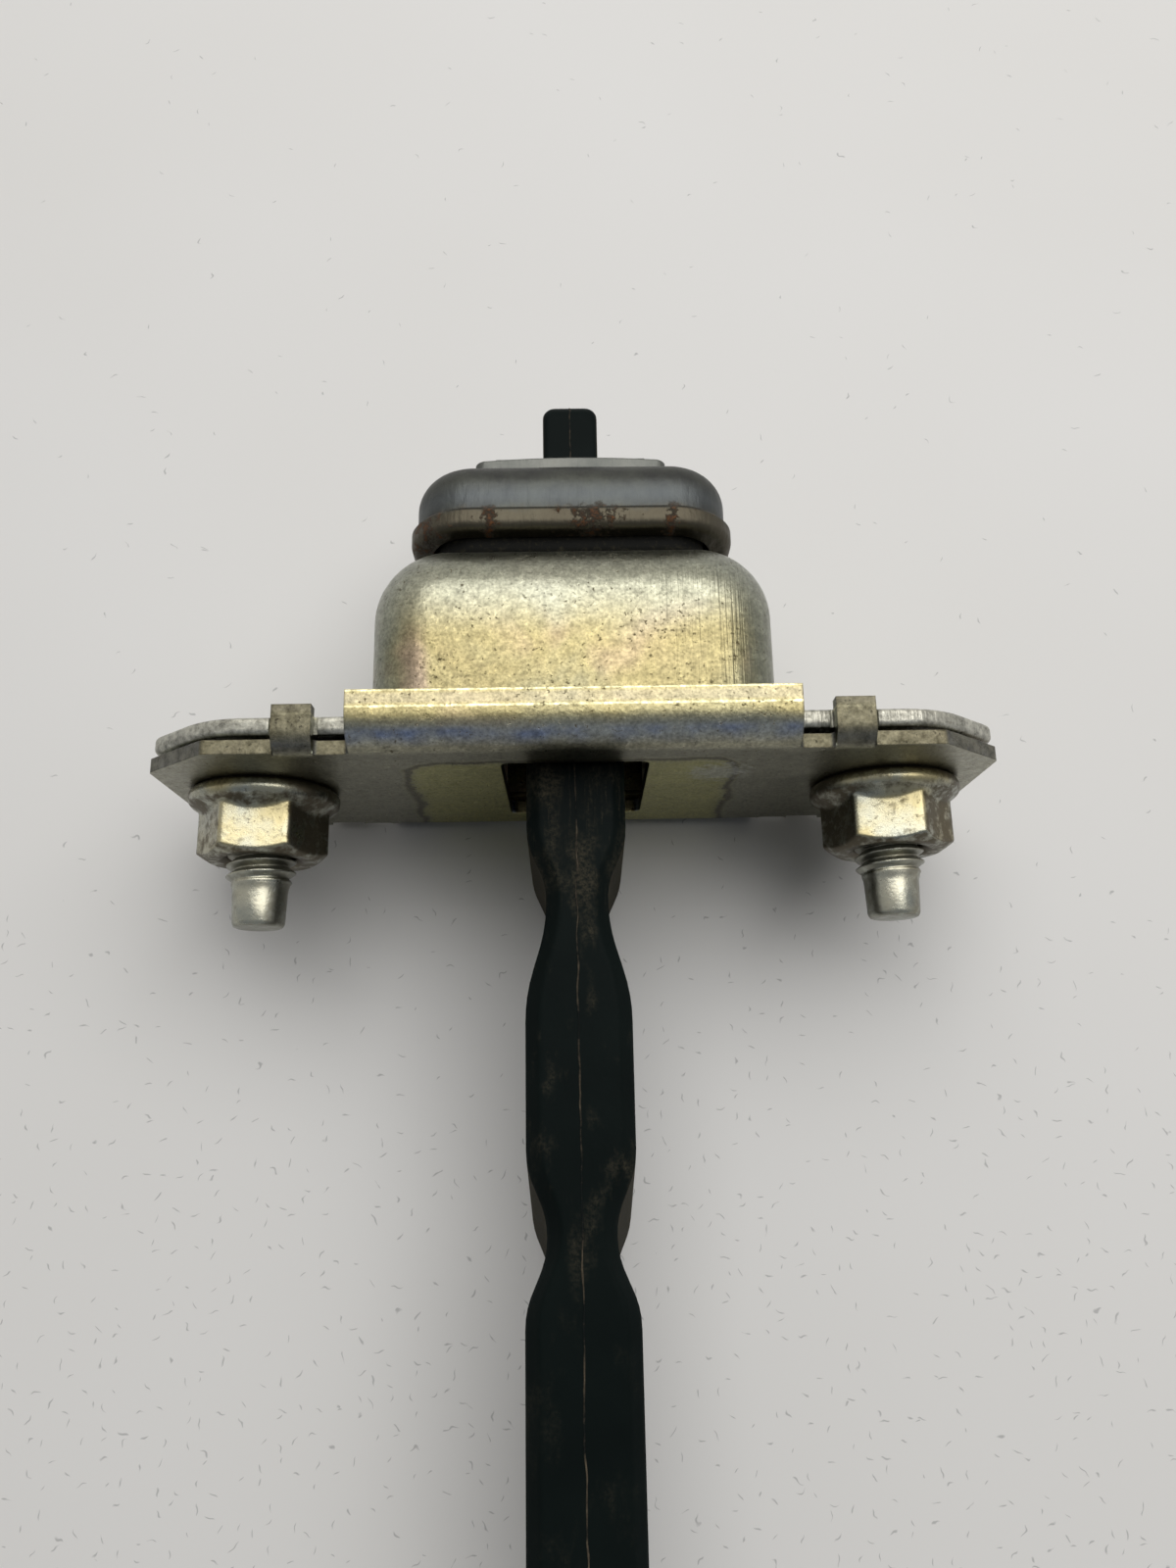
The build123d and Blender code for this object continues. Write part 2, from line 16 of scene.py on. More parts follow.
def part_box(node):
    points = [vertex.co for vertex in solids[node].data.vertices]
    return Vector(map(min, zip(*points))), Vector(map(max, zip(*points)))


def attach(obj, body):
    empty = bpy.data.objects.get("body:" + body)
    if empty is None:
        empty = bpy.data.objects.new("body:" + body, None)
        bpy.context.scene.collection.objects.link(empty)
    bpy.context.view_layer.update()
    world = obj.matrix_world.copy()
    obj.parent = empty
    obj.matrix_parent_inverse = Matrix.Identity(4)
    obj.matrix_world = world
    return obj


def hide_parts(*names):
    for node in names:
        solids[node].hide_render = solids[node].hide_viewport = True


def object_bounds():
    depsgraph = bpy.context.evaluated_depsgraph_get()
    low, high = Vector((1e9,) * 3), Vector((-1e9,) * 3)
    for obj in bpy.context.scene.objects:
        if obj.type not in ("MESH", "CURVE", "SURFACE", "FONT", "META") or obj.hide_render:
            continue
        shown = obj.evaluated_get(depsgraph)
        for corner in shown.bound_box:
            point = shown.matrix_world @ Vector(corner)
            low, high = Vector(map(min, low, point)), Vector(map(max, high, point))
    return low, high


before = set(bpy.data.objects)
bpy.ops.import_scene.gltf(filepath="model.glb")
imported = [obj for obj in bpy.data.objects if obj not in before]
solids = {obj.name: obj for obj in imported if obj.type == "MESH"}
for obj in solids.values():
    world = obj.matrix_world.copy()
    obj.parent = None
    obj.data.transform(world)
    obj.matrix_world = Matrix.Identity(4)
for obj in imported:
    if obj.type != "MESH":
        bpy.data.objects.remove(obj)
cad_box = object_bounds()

scene = bpy.context.scene
scene.view_settings.view_transform = "Standard"
mm = 0.001

# %% [markdown]
# ## The camera
# The photograph was taken from about 10 cm above the table, looking down steeply, so near
# things look large and the plate leans away from us. A camera could be placed by eye, but the six numbers
# of its place and turn were worked out from known points on the plate, the nuts and the case instead.
# The picture is upright, so the sensor is fitted by its height.

# %% Camera
dip, turn, lean = radians(74.682), radians(2.72), radians(-1.757)
ahead = Vector((sin(turn) * cos(dip), cos(turn) * cos(dip), -sin(dip)))
level = Vector((cos(turn), -sin(turn), 0))
below = ahead.cross(level)
right = cos(lean) * level + sin(lean) * below
down = cos(lean) * below - sin(lean) * level
camera = bpy.data.objects.new("camera", bpy.data.cameras.new("camera"))
camera.data.sensor_fit = "VERTICAL"
sensor, focal_pixels, picture_rows = 36, 1190.68, 1600
camera.data.sensor_height = sensor
camera.data.lens = sensor * focal_pixels / picture_rows
camera.data.clip_start = 5 * mm
place = Matrix((right, -down, -ahead)).transposed().to_4x4()
place.translation = Vector((-0.168, -27.266, 101.373)) * mm
camera.matrix_world = place
scene.collection.objects.link(camera)
scene.camera = camera
print("camera looks down by", round(dip * 180 / pi, 1), "degrees, lens", round(camera.data.lens, 1), "mm")

# %% [markdown]
# ## Helpers for finishes
# Colours are picked as sRGB hex values, the way a paint program shows them, but a shader counts in linear
# light, so one function turns one into the other. A finish is a tree of nodes. Writing each node with its
# settings and its links in one line keeps the tree readable, and one small function does that for all kinds.
# A third function starts a finish and measures the piece in millimetres.

# %% Colour and node helpers
def linear(hex_colour):
    """Linear RGBA of an sRGB hex colour."""
    parts = [int(hex_colour[k : k + 2], 16) / 255 for k in (1, 3, 5)]
    return [p / 12.92 if p <= 0.04045 else ((p + 0.055) / 1.055) ** 2.4 for p in parts] + [1.0]


def add(tree, kind, links=None, **settings):
    """A node of that kind. Links name its inputs, and each gives a value or another node's output."""
    node = tree.nodes.new("ShaderNode" + kind)
    for name, value in settings.items():
        setattr(node, name, value)
    for key, value in (links or {}).items():
        if isinstance(value, bpy.types.NodeSocket):
            tree.links.new(value, node.inputs[key])
        else:
            node.inputs[key].default_value = value
    return node


def start_finish(name):
    """A new material: its tree, its shader, and the point on the piece in millimetres."""
    material = bpy.data.materials.new(name)
    material.use_nodes = True
    tree = material.node_tree
    spot = add(tree, "TexCoord").outputs["Object"]
    spot = add(tree, "VectorMath", {0: spot, "Scale": 1000.0}, operation="SCALE").outputs[0]
    return material, tree, tree.nodes["Principled BSDF"], spot


print("a mid grey of #808080 is", round(linear("#808080")[0], 3), "in linear light")

# %% [markdown]
# ## The table
# The part lies on a matt white table with a little lint on it. It could be a photograph of a table top, but
# a plain pale floor with a breath of unevenness shows the part better and needs no picture. Lint is one
# short hair in each cell of a Voronoi pattern, turned at random, and only some hairs are kept. Far from the
# lamp the table would look dark, so there it takes the pale tone of the room. The floor meets the lowest bend
# of the plate.

# %% Floor
def seen_directly(tree):
    """1 for rays from the camera, or by way of metal or glass, and 0 for the rays that light things."""
    ray = add(tree, "LightPath").outputs
    seen = add(tree, "Math", {0: ray["Is Camera Ray"], 1: ray["Is Glossy Ray"]}, operation="MAXIMUM").outputs[0]
    return add(tree, "Math", {0: seen, 1: ray["Is Transmission Ray"]}, operation="MAXIMUM").outputs[0]


table_material, tree, shader, spot = start_finish("matt white laminate, pressed")
drift = add(tree, "TexNoise", {"Vector": spot, "Scale": 1 / 60, "Detail": 2.0}).outputs[0]
tone = add(tree, "Mix", {0: drift, 6: linear("#dfdedc"), 7: linear("#e6e6e6")}, data_type="RGBA").outputs[2]
bend = add(tree, "TexNoise", {"Vector": spot, "Scale": 1 / 1.3, "Detail": 1.0}).outputs[1]
bent = add(tree, "VectorMath", {0: bend, 1: (1.4, 1.4, 0), 2: spot}, operation="MULTIPLY_ADD").outputs[0]
lint = add(tree, "TexVoronoi", {"Vector": bent, "Scale": 1 / 1.7}, voronoi_dimensions="2D")
hair = add(tree, "VectorMath", {0: bent, 1: lint.outputs["Position"]}, operation="SUBTRACT").outputs[0]
lot = add(tree, "SeparateXYZ", {0: lint.outputs["Color"]})
angle = add(tree, "Math", {0: lot.outputs["Y"], 1: pi}, operation="MULTIPLY").outputs[0]
hair = add(tree, "VectorRotate", {"Vector": hair, "Angle": angle}, rotation_type="Z_AXIS").outputs[0]
hair = add(tree, "VectorMath", {0: hair, 1: (1 / 0.42, 1 / 0.08, 0)}, operation="MULTIPLY").outputs[0]
hair = add(tree, "VectorMath", {0: hair}, operation="LENGTH").outputs["Value"]
hair = add(tree, "MapRange", {0: hair, 1: 0.4, 2: 1.0, 3: 0.40, 4: 0.0}).outputs[0]
ahead_of = add(tree, "SeparateXYZ", {0: spot}).outputs["Y"]
ahead_of = add(tree, "MapRange", {0: ahead_of, 1: 5.0, 2: -45.0, 3: 0.05, 4: 0.6}).outputs[0]
kept = add(tree, "Math", {0: lot.outputs["X"], 1: ahead_of}, operation="LESS_THAN").outputs[0]
lint = add(tree, "Math", {0: hair, 1: kept}, operation="MULTIPLY").outputs[0]
tone = add(tree, "Mix", {0: lint, 6: tone, 7: linear("#55565a")}, data_type="RGBA").outputs[2]
tree.links.new(tone, shader.inputs["Base Color"])
shader.inputs["Roughness"].default_value = 0.6
shader.inputs["Specular IOR Level"].default_value = 0.3
# Far from the lamp the table stays pale
far = add(tree, "VectorMath", {0: spot}, operation="LENGTH").outputs["Value"]
far = add(tree, "MapRange", {0: far, 1: 190.0, 2: 700.0}, interpolation_type="SMOOTHSTEP").outputs[0]
far = add(tree, "Math", {0: far, 1: seen_directly(tree)}, operation="MULTIPLY").outputs[0]
haze = add(tree, "Emission", {"Color": linear("#f4f3f1"), "Strength": 0.62})
mixed = add(tree, "MixShader", {0: far, 1: shader.outputs[0], 2: haze.outputs[0]})
tree.links.new(mixed.outputs[0], tree.nodes["Material Output"].inputs["Surface"])
sheet = bmesh.new()
floor_half = 4.0
bmesh.ops.create_grid(sheet, x_segments=1, y_segments=1, size=floor_half)
floor_mesh = bpy.data.meshes.new("table_top")
sheet.to_mesh(floor_mesh)
sheet.free()
floor = bpy.data.objects.new("table_top", floor_mesh)
floor.location.z = cad_box[0][2]
floor.data.materials.append(table_material)
scene.collection.objects.link(floor)
print("table at", round(cad_box[0][2] / mm, 3), "mm")

# %% [markdown]
# ## The light
# A room lamp hangs above, a little behind and to the right, so flat tops shine, the front of the plate is
# in shade and soft shadows lie under it. Metal shows what stands round it, so the room matters as much as
# the lamp: light walls behind, and a darker, cooler side in front. The walls that metal and the camera see
# are painted lighter than the light they give off, which keeps the shadows deep and the edges bright.

# %% Lamp and room
lamp = bpy.data.objects.new("room_lamp", bpy.data.lights.new("room_lamp", "AREA"))
lamp.data.shape = "RECTANGLE"
lamp.data.size, lamp.data.size_y = 0.8, 0.5
lamp.data.energy = 3.3
lamp.data.color = (1.0, 0.985, 0.96)
lamp.location = (0.10, 0.23, 0.52)
lamp.rotation_euler = Vector(lamp.location).to_track_quat("Z", "Y").to_euler()
scene.collection.objects.link(lamp)
world = bpy.data.worlds.new("room")
scene.world = world
world.use_nodes = True
sky = world.node_tree
way = add(sky, "SeparateXYZ", {0: add(sky, "TexCoord").outputs["Generated"]})
back = add(sky, "MapRange", {0: way.outputs["Y"], 1: -0.6, 2: 0.7}, interpolation_type="SMOOTHSTEP").outputs[0]
glow = add(sky, "MapRange", {0: back, 3: 0.03, 4: 0.48}).outputs[0]
walls = add(sky, "MapRange", {0: back, 3: 0.38, 4: 0.85}).outputs[0]
power = add(sky, "Mix", {0: seen_directly(sky), 2: glow, 3: walls}).outputs[0]
cast = add(sky, "Mix", {0: back, 6: linear("#e0e6ee"), 7: linear("#fdfaf4")}, data_type="RGBA").outputs[2]
sky.links.new(power, sky.nodes["Background"].inputs["Strength"])
sky.links.new(cast, sky.nodes["Background"].inputs["Color"])
print("lamp", lamp.data.energy, "W, walls from 0.38 in front to 0.85 behind")

# %% [markdown]
# ## Yellow-passivated zinc on pressed steel
# The plate and the case are pressed from steel sheet, zinc plated, and dipped in a yellow passivate. That
# film is so thin that it shows straw, grey-green, pink and violet where its thickness changes, as oil on
# water does, and most of all on the bends. The colours could be painted on, but cloud noises that mix a few
# tints follow the solid from all sides. Dark specks are grime in the pores, and the long streaks on the
# case are drag marks of the drawing die. Bevel bends the light over the sheared edges.
# On the folded plate, the pale grey over the bend and the lighter blue on it are painted reflection, and two
# thin bright lines are painted highlights.

# %% Passivated sheet
def dress(finish, *names):
    """Gives CAD solids a finish."""
    for name in names:
        solids[name].data.materials.clear()
        solids[name].data.materials.append(finish)


def relief(tree, shader, height, rounding, samples=4):
    """Gives a finish bumps of a height in mm, on edges that look rounded by so many mm."""
    edge = add(tree, "Bevel", {"Radius": rounding * mm}, samples=samples).outputs[0]
    bump = add(tree, "Bump", {"Strength": 1.0, "Distance": mm, "Height": height, "Normal": edge})
    tree.links.new(bump.outputs[0], shader.inputs["Normal"])


def passivated_zinc(name, edge_tone, folded_plate):
    """Yellow-passivated sheet, for the folded plate or else for the drawn case. Heights are in mm."""
    material, tree, shader, spot = start_finish(name)
    facing = add(tree, "SeparateXYZ", {0: add(tree, "TexCoord").outputs["Normal"]})
    where = add(tree, "SeparateXYZ", {0: spot})
    apart = add(tree, "VectorMath", {0: spot}, operation="ABSOLUTE").outputs[0]
    outward = add(tree, "SeparateXYZ", {0: apart})
    # Film: straw where the sheet is level, grey-green where it was drawn round an edge
    drift = add(tree, "TexNoise", {"Vector": spot, "Scale": 1 / 9, "Detail": 3.0, "Distortion": 0.5}).outputs[0]
    upward = add(tree, "Math", {0: facing.outputs["Z"]}, operation="ABSOLUTE").outputs[0]
    level = add(tree, "Math", {0: drift, 1: 0.6, 2: upward}, operation="MULTIPLY_ADD").outputs[0]
    level = add(tree, "MapRange", {0: level, 1: 1.0, 2: 1.34}, interpolation_type="SMOOTHSTEP").outputs[0]
    straw = linear("#a3986e" if folded_plate else "#8f8560")
    colour = add(tree, "Mix", {0: level, 6: linear("#808271"), 7: straw}, data_type="RGBA").outputs[2]
    blush = add(tree, "TexNoise", {"Vector": spot, "Scale": 1 / 8, "Detail": 2.0, "Distortion": 0.8}).outputs[0]
    blush = add(tree, "MapRange", {0: blush, 1: 0.52, 2: 0.75, 4: 0.4}).outputs[0]
    colour = add(tree, "Mix", {0: blush, 6: colour, 7: linear("#9d8878")}, data_type="RGBA").outputs[2]
    mottle = add(
        tree, "TexNoise", {"Vector": spot, "Scale": 1 / 0.9, "Detail": 6.0, "Roughness": 0.75}
    ).outputs[0]
    if not folded_plate:
        # Drawn furthest at the rear, where the film is thin and grey
        thin = add(tree, "Math", {0: drift, 1: 5.0, 2: where.outputs["Y"]}, operation="MULTIPLY_ADD").outputs[0]
        thin = add(tree, "MapRange", {0: thin, 1: 11.5, 2: 17.0, 4: 0.85}, interpolation_type="SMOOTHSTEP")
        colour = add(
            tree, "Mix", {0: thin.outputs[0], 6: colour, 7: linear("#9c9e90")}, data_type="RGBA"
        ).outputs[2]
        # A pink tinge where the level top ends at the left
        pink = add(tree, "Math", {0: drift, 1: 5.0, 2: where.outputs["X"]}, operation="MULTIPLY_ADD").outputs[0]
        pink = add(tree, "Math", {0: pink, 1: 10.6}, operation="ADD").outputs[0]
        pink = add(tree, "Math", {0: pink}, operation="ABSOLUTE").outputs[0]
        pink = add(
            tree, "MapRange", {0: pink, 1: 1.6, 2: 0.2, 4: 0.5}, interpolation_type="SMOOTHSTEP"
        ).outputs[0]
        ahead_of = add(tree, "MapRange", {0: where.outputs["Y"], 1: 11.0, 2: 8.0}).outputs[0]
        pink = add(tree, "Math", {0: pink, 1: ahead_of}, operation="MULTIPLY").outputs[0]
        colour = add(tree, "Mix", {0: pink, 6: colour, 7: linear("#a18a80")}, data_type="RGBA").outputs[2]
    if folded_plate:
        # The bend stretched the film to a ragged blue band, lightened as painted reflection, over a pale grey
        # painted reflection; two thin painted highlight lines lie beside a violet one
        band = add(tree, "MapRange", {0: upward, 1: 0.90, 2: 0.76}, interpolation_type="SMOOTHSTEP").outputs[0]
        below = add(tree, "MapRange", {0: upward, 1: 0.25, 2: 0.50}, interpolation_type="SMOOTHSTEP").outputs[0]
        band = add(tree, "Math", {0: band, 1: below}, operation="MULTIPLY").outputs[0]
        ragged = add(tree, "TexNoise", {"Vector": spot, "Scale": 1 / 3, "Detail": 5.0}).outputs[0]
        ragged = add(tree, "MapRange", {0: ragged, 1: 0.38, 2: 0.64, 4: 0.8}).outputs[0]
        band = add(tree, "Math", {0: band, 1: ragged}, operation="MULTIPLY").outputs[0]
        # Painted reflection: a pale grey laid over the upper bend
        painted_bend_reflection = add(tree, "MapRange", {0: upward, 1: 0.97, 2: 0.8, 4: 0.8}).outputs[0]
        painted_bend_reflection = add(tree, "Math", {0: painted_bend_reflection, 1: below}, operation="MULTIPLY").outputs[0]
        colour = add(tree, "Mix", {0: painted_bend_reflection, 6: colour, 7: linear("#b0b2ae")}, data_type="RGBA").outputs[2]
        colour = add(tree, "Mix", {0: band, 6: colour, 7: linear("#7a88a8")}, data_type="RGBA").outputs[2]
        back = add(tree, "Math", {0: where.outputs["Y"], 1: 3.75}, operation="SUBTRACT").outputs[0]
        back = add(tree, "Math", {0: back}, operation="ABSOLUTE").outputs[0]
        violet = add(tree, "MapRange", {0: back, 1: 0.6, 2: 0.3, 4: 0.3}).outputs[0]
        colour = add(tree, "Mix", {0: violet, 6: colour, 7: linear("#817e80")}, data_type="RGBA").outputs[2]
        # Painted highlights: two thin bright lines, 0.68 mm to each side of the violet line, broken up by the
        # mottling
        painted_highlight_line = add(tree, "Math", {0: back, 1: 0.68}, operation="SUBTRACT").outputs[0]
        painted_highlight_line = add(tree, "Math", {0: painted_highlight_line}, operation="ABSOLUTE").outputs[0]
        painted_highlight_line = add(tree, "MapRange", {0: painted_highlight_line, 1: 0.2, 2: 0.06}).outputs[0]
        painted_highlight_line = add(tree, "Math", {0: painted_highlight_line, 1: mottle}, operation="MULTIPLY").outputs[0]
        painted_highlight_line = add(tree, "MapRange", {0: painted_highlight_line, 1: 0.3, 2: 0.7}).outputs[0]
        colour = add(tree, "Mix", {0: painted_highlight_line, 6: colour, 7: linear("#efe8bc")}, data_type="RGBA").outputs[2]
        # A gasket once covered the middle of the face: yellow inside its outline, grey outside, grime between
        seat = add(tree, "VectorMath", {0: spot, 1: (0.0, 0.0, 6.0)}, operation="ADD").outputs[0]
        seat = add(tree, "VectorMath", {0: seat}, operation="ABSOLUTE").outputs[0]
        over = add(tree, "VectorMath", {0: seat, 1: (10.6, 90.0, 11.0)}, operation="SUBTRACT").outputs[0]
        over = add(tree, "VectorMath", {0: over, 1: (0.0, 0.0, 0.0)}, operation="MAXIMUM").outputs[0]
        outline = add(tree, "VectorMath", {0: over}, operation="LENGTH").outputs["Value"]
        outline = add(tree, "Math", {0: drift, 1: 4.0, 2: outline}, operation="MULTIPLY_ADD").outputs[0]
        outline = add(tree, "Math", {0: mottle, 1: 1.6, 2: outline}, operation="MULTIPLY_ADD").outputs[0]
        front = add(tree, "MapRange", {0: facing.outputs["Y"], 1: -0.7, 2: -0.95}).outputs[0]
        inside = add(tree, "MapRange", {0: outline, 1: 7.4, 2: 5.4}).outputs[0]
        face = add(
            tree, "Mix", {0: inside, 6: linear("#8f8d7b"), 7: linear("#aaa76f")}, data_type="RGBA"
        ).outputs[2]
        rim = add(tree, "Math", {0: outline, 1: 6.6}, operation="SUBTRACT").outputs[0]
        rim = add(tree, "Math", {0: rim}, operation="ABSOLUTE").outputs[0]
        rim = add(tree, "Math", {0: mottle, 1: -1.3, 2: rim}, operation="MULTIPLY_ADD").outputs[0]
        rim = add(tree, "MapRange", {0: rim, 1: -0.15, 2: -0.5, 4: 0.8}).outputs[0]
        face = add(tree, "Mix", {0: rim, 6: face, 7: linear("#3b3527")}, data_type="RGBA").outputs[2]
        smear = add(tree, "VectorMath", {0: spot, 1: (12.2, 0.0, 5.0)}, operation="DISTANCE").outputs["Value"]
        smear = add(tree, "Math", {0: mottle, 1: -9.0, 2: smear}, operation="MULTIPLY_ADD").outputs[0]
        smear = add(tree, "MapRange", {0: smear, 1: -1.6, 2: -3.2, 4: 0.7}).outputs[0]
        face = add(tree, "Mix", {0: smear, 6: face, 7: linear("#aeb0aa")}, data_type="RGBA").outputs[2]
        colour = add(tree, "Mix", {0: front, 6: colour, 7: face}, data_type="RGBA").outputs[2]
    # Mottling of 1 mm and a grain of 0.3 mm, then brown specks of 0.4 mm that gather in patches of 4 mm
    shade = add(tree, "MapRange", {0: mottle, 1: 0.3, 2: 0.7, 3: 0.66, 4: 1.22}).outputs[0]
    grain = add(
        tree, "TexNoise", {"Vector": spot, "Scale": 1 / 0.28, "Detail": 3.0, "Roughness": 0.6}
    ).outputs[0]
    grain = add(tree, "MapRange", {0: grain, 1: 0.3, 2: 0.7, 3: 0.70, 4: 1.30}).outputs[0]
    shade = add(tree, "Math", {0: shade, 1: grain}, operation="MULTIPLY").outputs[0]
    colour = add(tree, "VectorMath", {0: colour, "Scale": shade}, operation="SCALE").outputs[0]
    patch = add(tree, "TexNoise", {"Vector": spot, "Scale": 1 / 4, "Detail": 2.0}).outputs[0]
    speck = add(
        tree, "TexNoise", {"Vector": spot, "Scale": 1 / 0.38, "Detail": 4.0, "Roughness": 0.65}
    ).outputs[0]
    speck = add(tree, "Math", {0: patch, 1: 0.18, 2: speck}, operation="MULTIPLY_ADD").outputs[0]
    dirt = add(tree, "MapRange", {0: speck, 1: 0.71, 2: 0.80, 4: 0.85}).outputs[0]
    colour = add(tree, "Mix", {0: dirt, 6: colour, 7: linear("#4a4029")}, data_type="RGBA").outputs[2]
    # Sheared edges and clenched tabs, outside the fold, are bare and dull
    outside = add(tree, "MapRange", {0: outward.outputs["X"], 1: 17.9, 2: 18.3}).outputs[0]
    bare = add(tree, "MapRange", {0: upward, 1: 0.2, 2: 0.5, 4: 0.85}).outputs[0]
    bare = add(tree, "Math", {0: outside, 1: bare}, operation="MULTIPLY").outputs[0]
    blotch = add(tree, "MapRange", {0: mottle, 1: 0.34, 2: 0.62, 3: 0.35, 4: 1.2}).outputs[0]
    worn = add(tree, "VectorMath", {0: linear(edge_tone)[:3], "Scale": blotch}, operation="SCALE").outputs[0]
    colour = add(tree, "Mix", {0: bare, 6: colour, 7: worn}, data_type="RGBA").outputs[2]
    tree.links.new(colour, shader.inputs["Base Color"])
    shader.inputs["Metallic"].default_value = 1.0
    # Satin: the film dulls the zinc unevenly, and dirt is duller
    gloss = add(tree, "MapRange", {0: mottle, 1: 0.3, 2: 0.7, 3: 0.36, 4: 0.25}).outputs[0]
    gloss = add(tree, "Math", {0: dirt, 1: 0.3, 2: gloss}, operation="MULTIPLY_ADD").outputs[0]
    gloss = add(tree, "Math", {0: bare, 1: 0.25, 2: gloss}, operation="MULTIPLY_ADD").outputs[0]
    tree.links.new(gloss, shader.inputs["Roughness"])
    # Dents of 6 mm, orange peel of 1 mm and sunk specks; edges rounded by 0.15 mm
    dents = add(tree, "TexNoise", {"Vector": spot, "Scale": 1 / 6, "Detail": 2.0}).outputs[0]
    height = add(tree, "Math", {0: dents, 1: 0.25}, operation="MULTIPLY").outputs[0]
    height = add(tree, "Math", {0: mottle, 1: 0.05, 2: height}, operation="MULTIPLY_ADD").outputs[0]
    height = add(tree, "Math", {0: dirt, 1: -0.02, 2: height}, operation="MULTIPLY_ADD").outputs[0]
    if not folded_plate:
        # The drawn top is slightly crowned, and scored by the die at the right
        middle = add(tree, "VectorMath", {0: spot, 1: (-2.5, 7.0, 0.0)}, operation="SUBTRACT").outputs[0]
        middle = add(tree, "VectorMath", {0: middle, 1: (0.060, 0.10, 0.0)}, operation="MULTIPLY").outputs[0]
        crown = add(tree, "VectorMath", {0: middle, 1: middle}, operation="DOT_PRODUCT").outputs["Value"]
        height = add(tree, "Math", {0: height, 1: crown}, operation="SUBTRACT").outputs[0]
        score = add(tree, "VectorMath", {0: spot, 1: (4.0, 0.08, 0.08)}, operation="MULTIPLY").outputs[0]
        score = add(tree, "TexNoise", {"Vector": score, "Scale": 1.0, "Detail": 2.0}).outputs[0]
        right_side = add(tree, "MapRange", {0: where.outputs["X"], 1: 2.0, 2: 9.0, 3: 0.01, 4: 0.10}).outputs[0]
        height = add(tree, "Math", {0: score, 1: right_side, 2: height}, operation="MULTIPLY_ADD").outputs[0]
    relief(tree, shader, height, 0.15)
    return material


plate_finish = passivated_zinc("yellow-passivated zinc, folded sheet", "#646154", True)
case_finish = passivated_zinc("yellow-passivated zinc, deep-drawn sheet", "#c6c5bb", False)
dress(plate_finish, "front_plate")
dress(case_finish, "case_shell")
print("passivated:", plate_finish.name, "and", case_finish.name)

# %% [markdown]
# ## Bright zinc on forged steel
# Nuts, studs, rivet and bracket are bright zinc plated, so they are smoother than the sheet. The faces that
# look up are painted cream, a painted reflection of warm light from above. Handling leaves brown grime where
# a cloth doesn't reach, and the same brown is painted shade in the corners, which ambient occlusion finds by
# itself, and on the sides that turn away from up or to the right. A noise breaks the brown up.

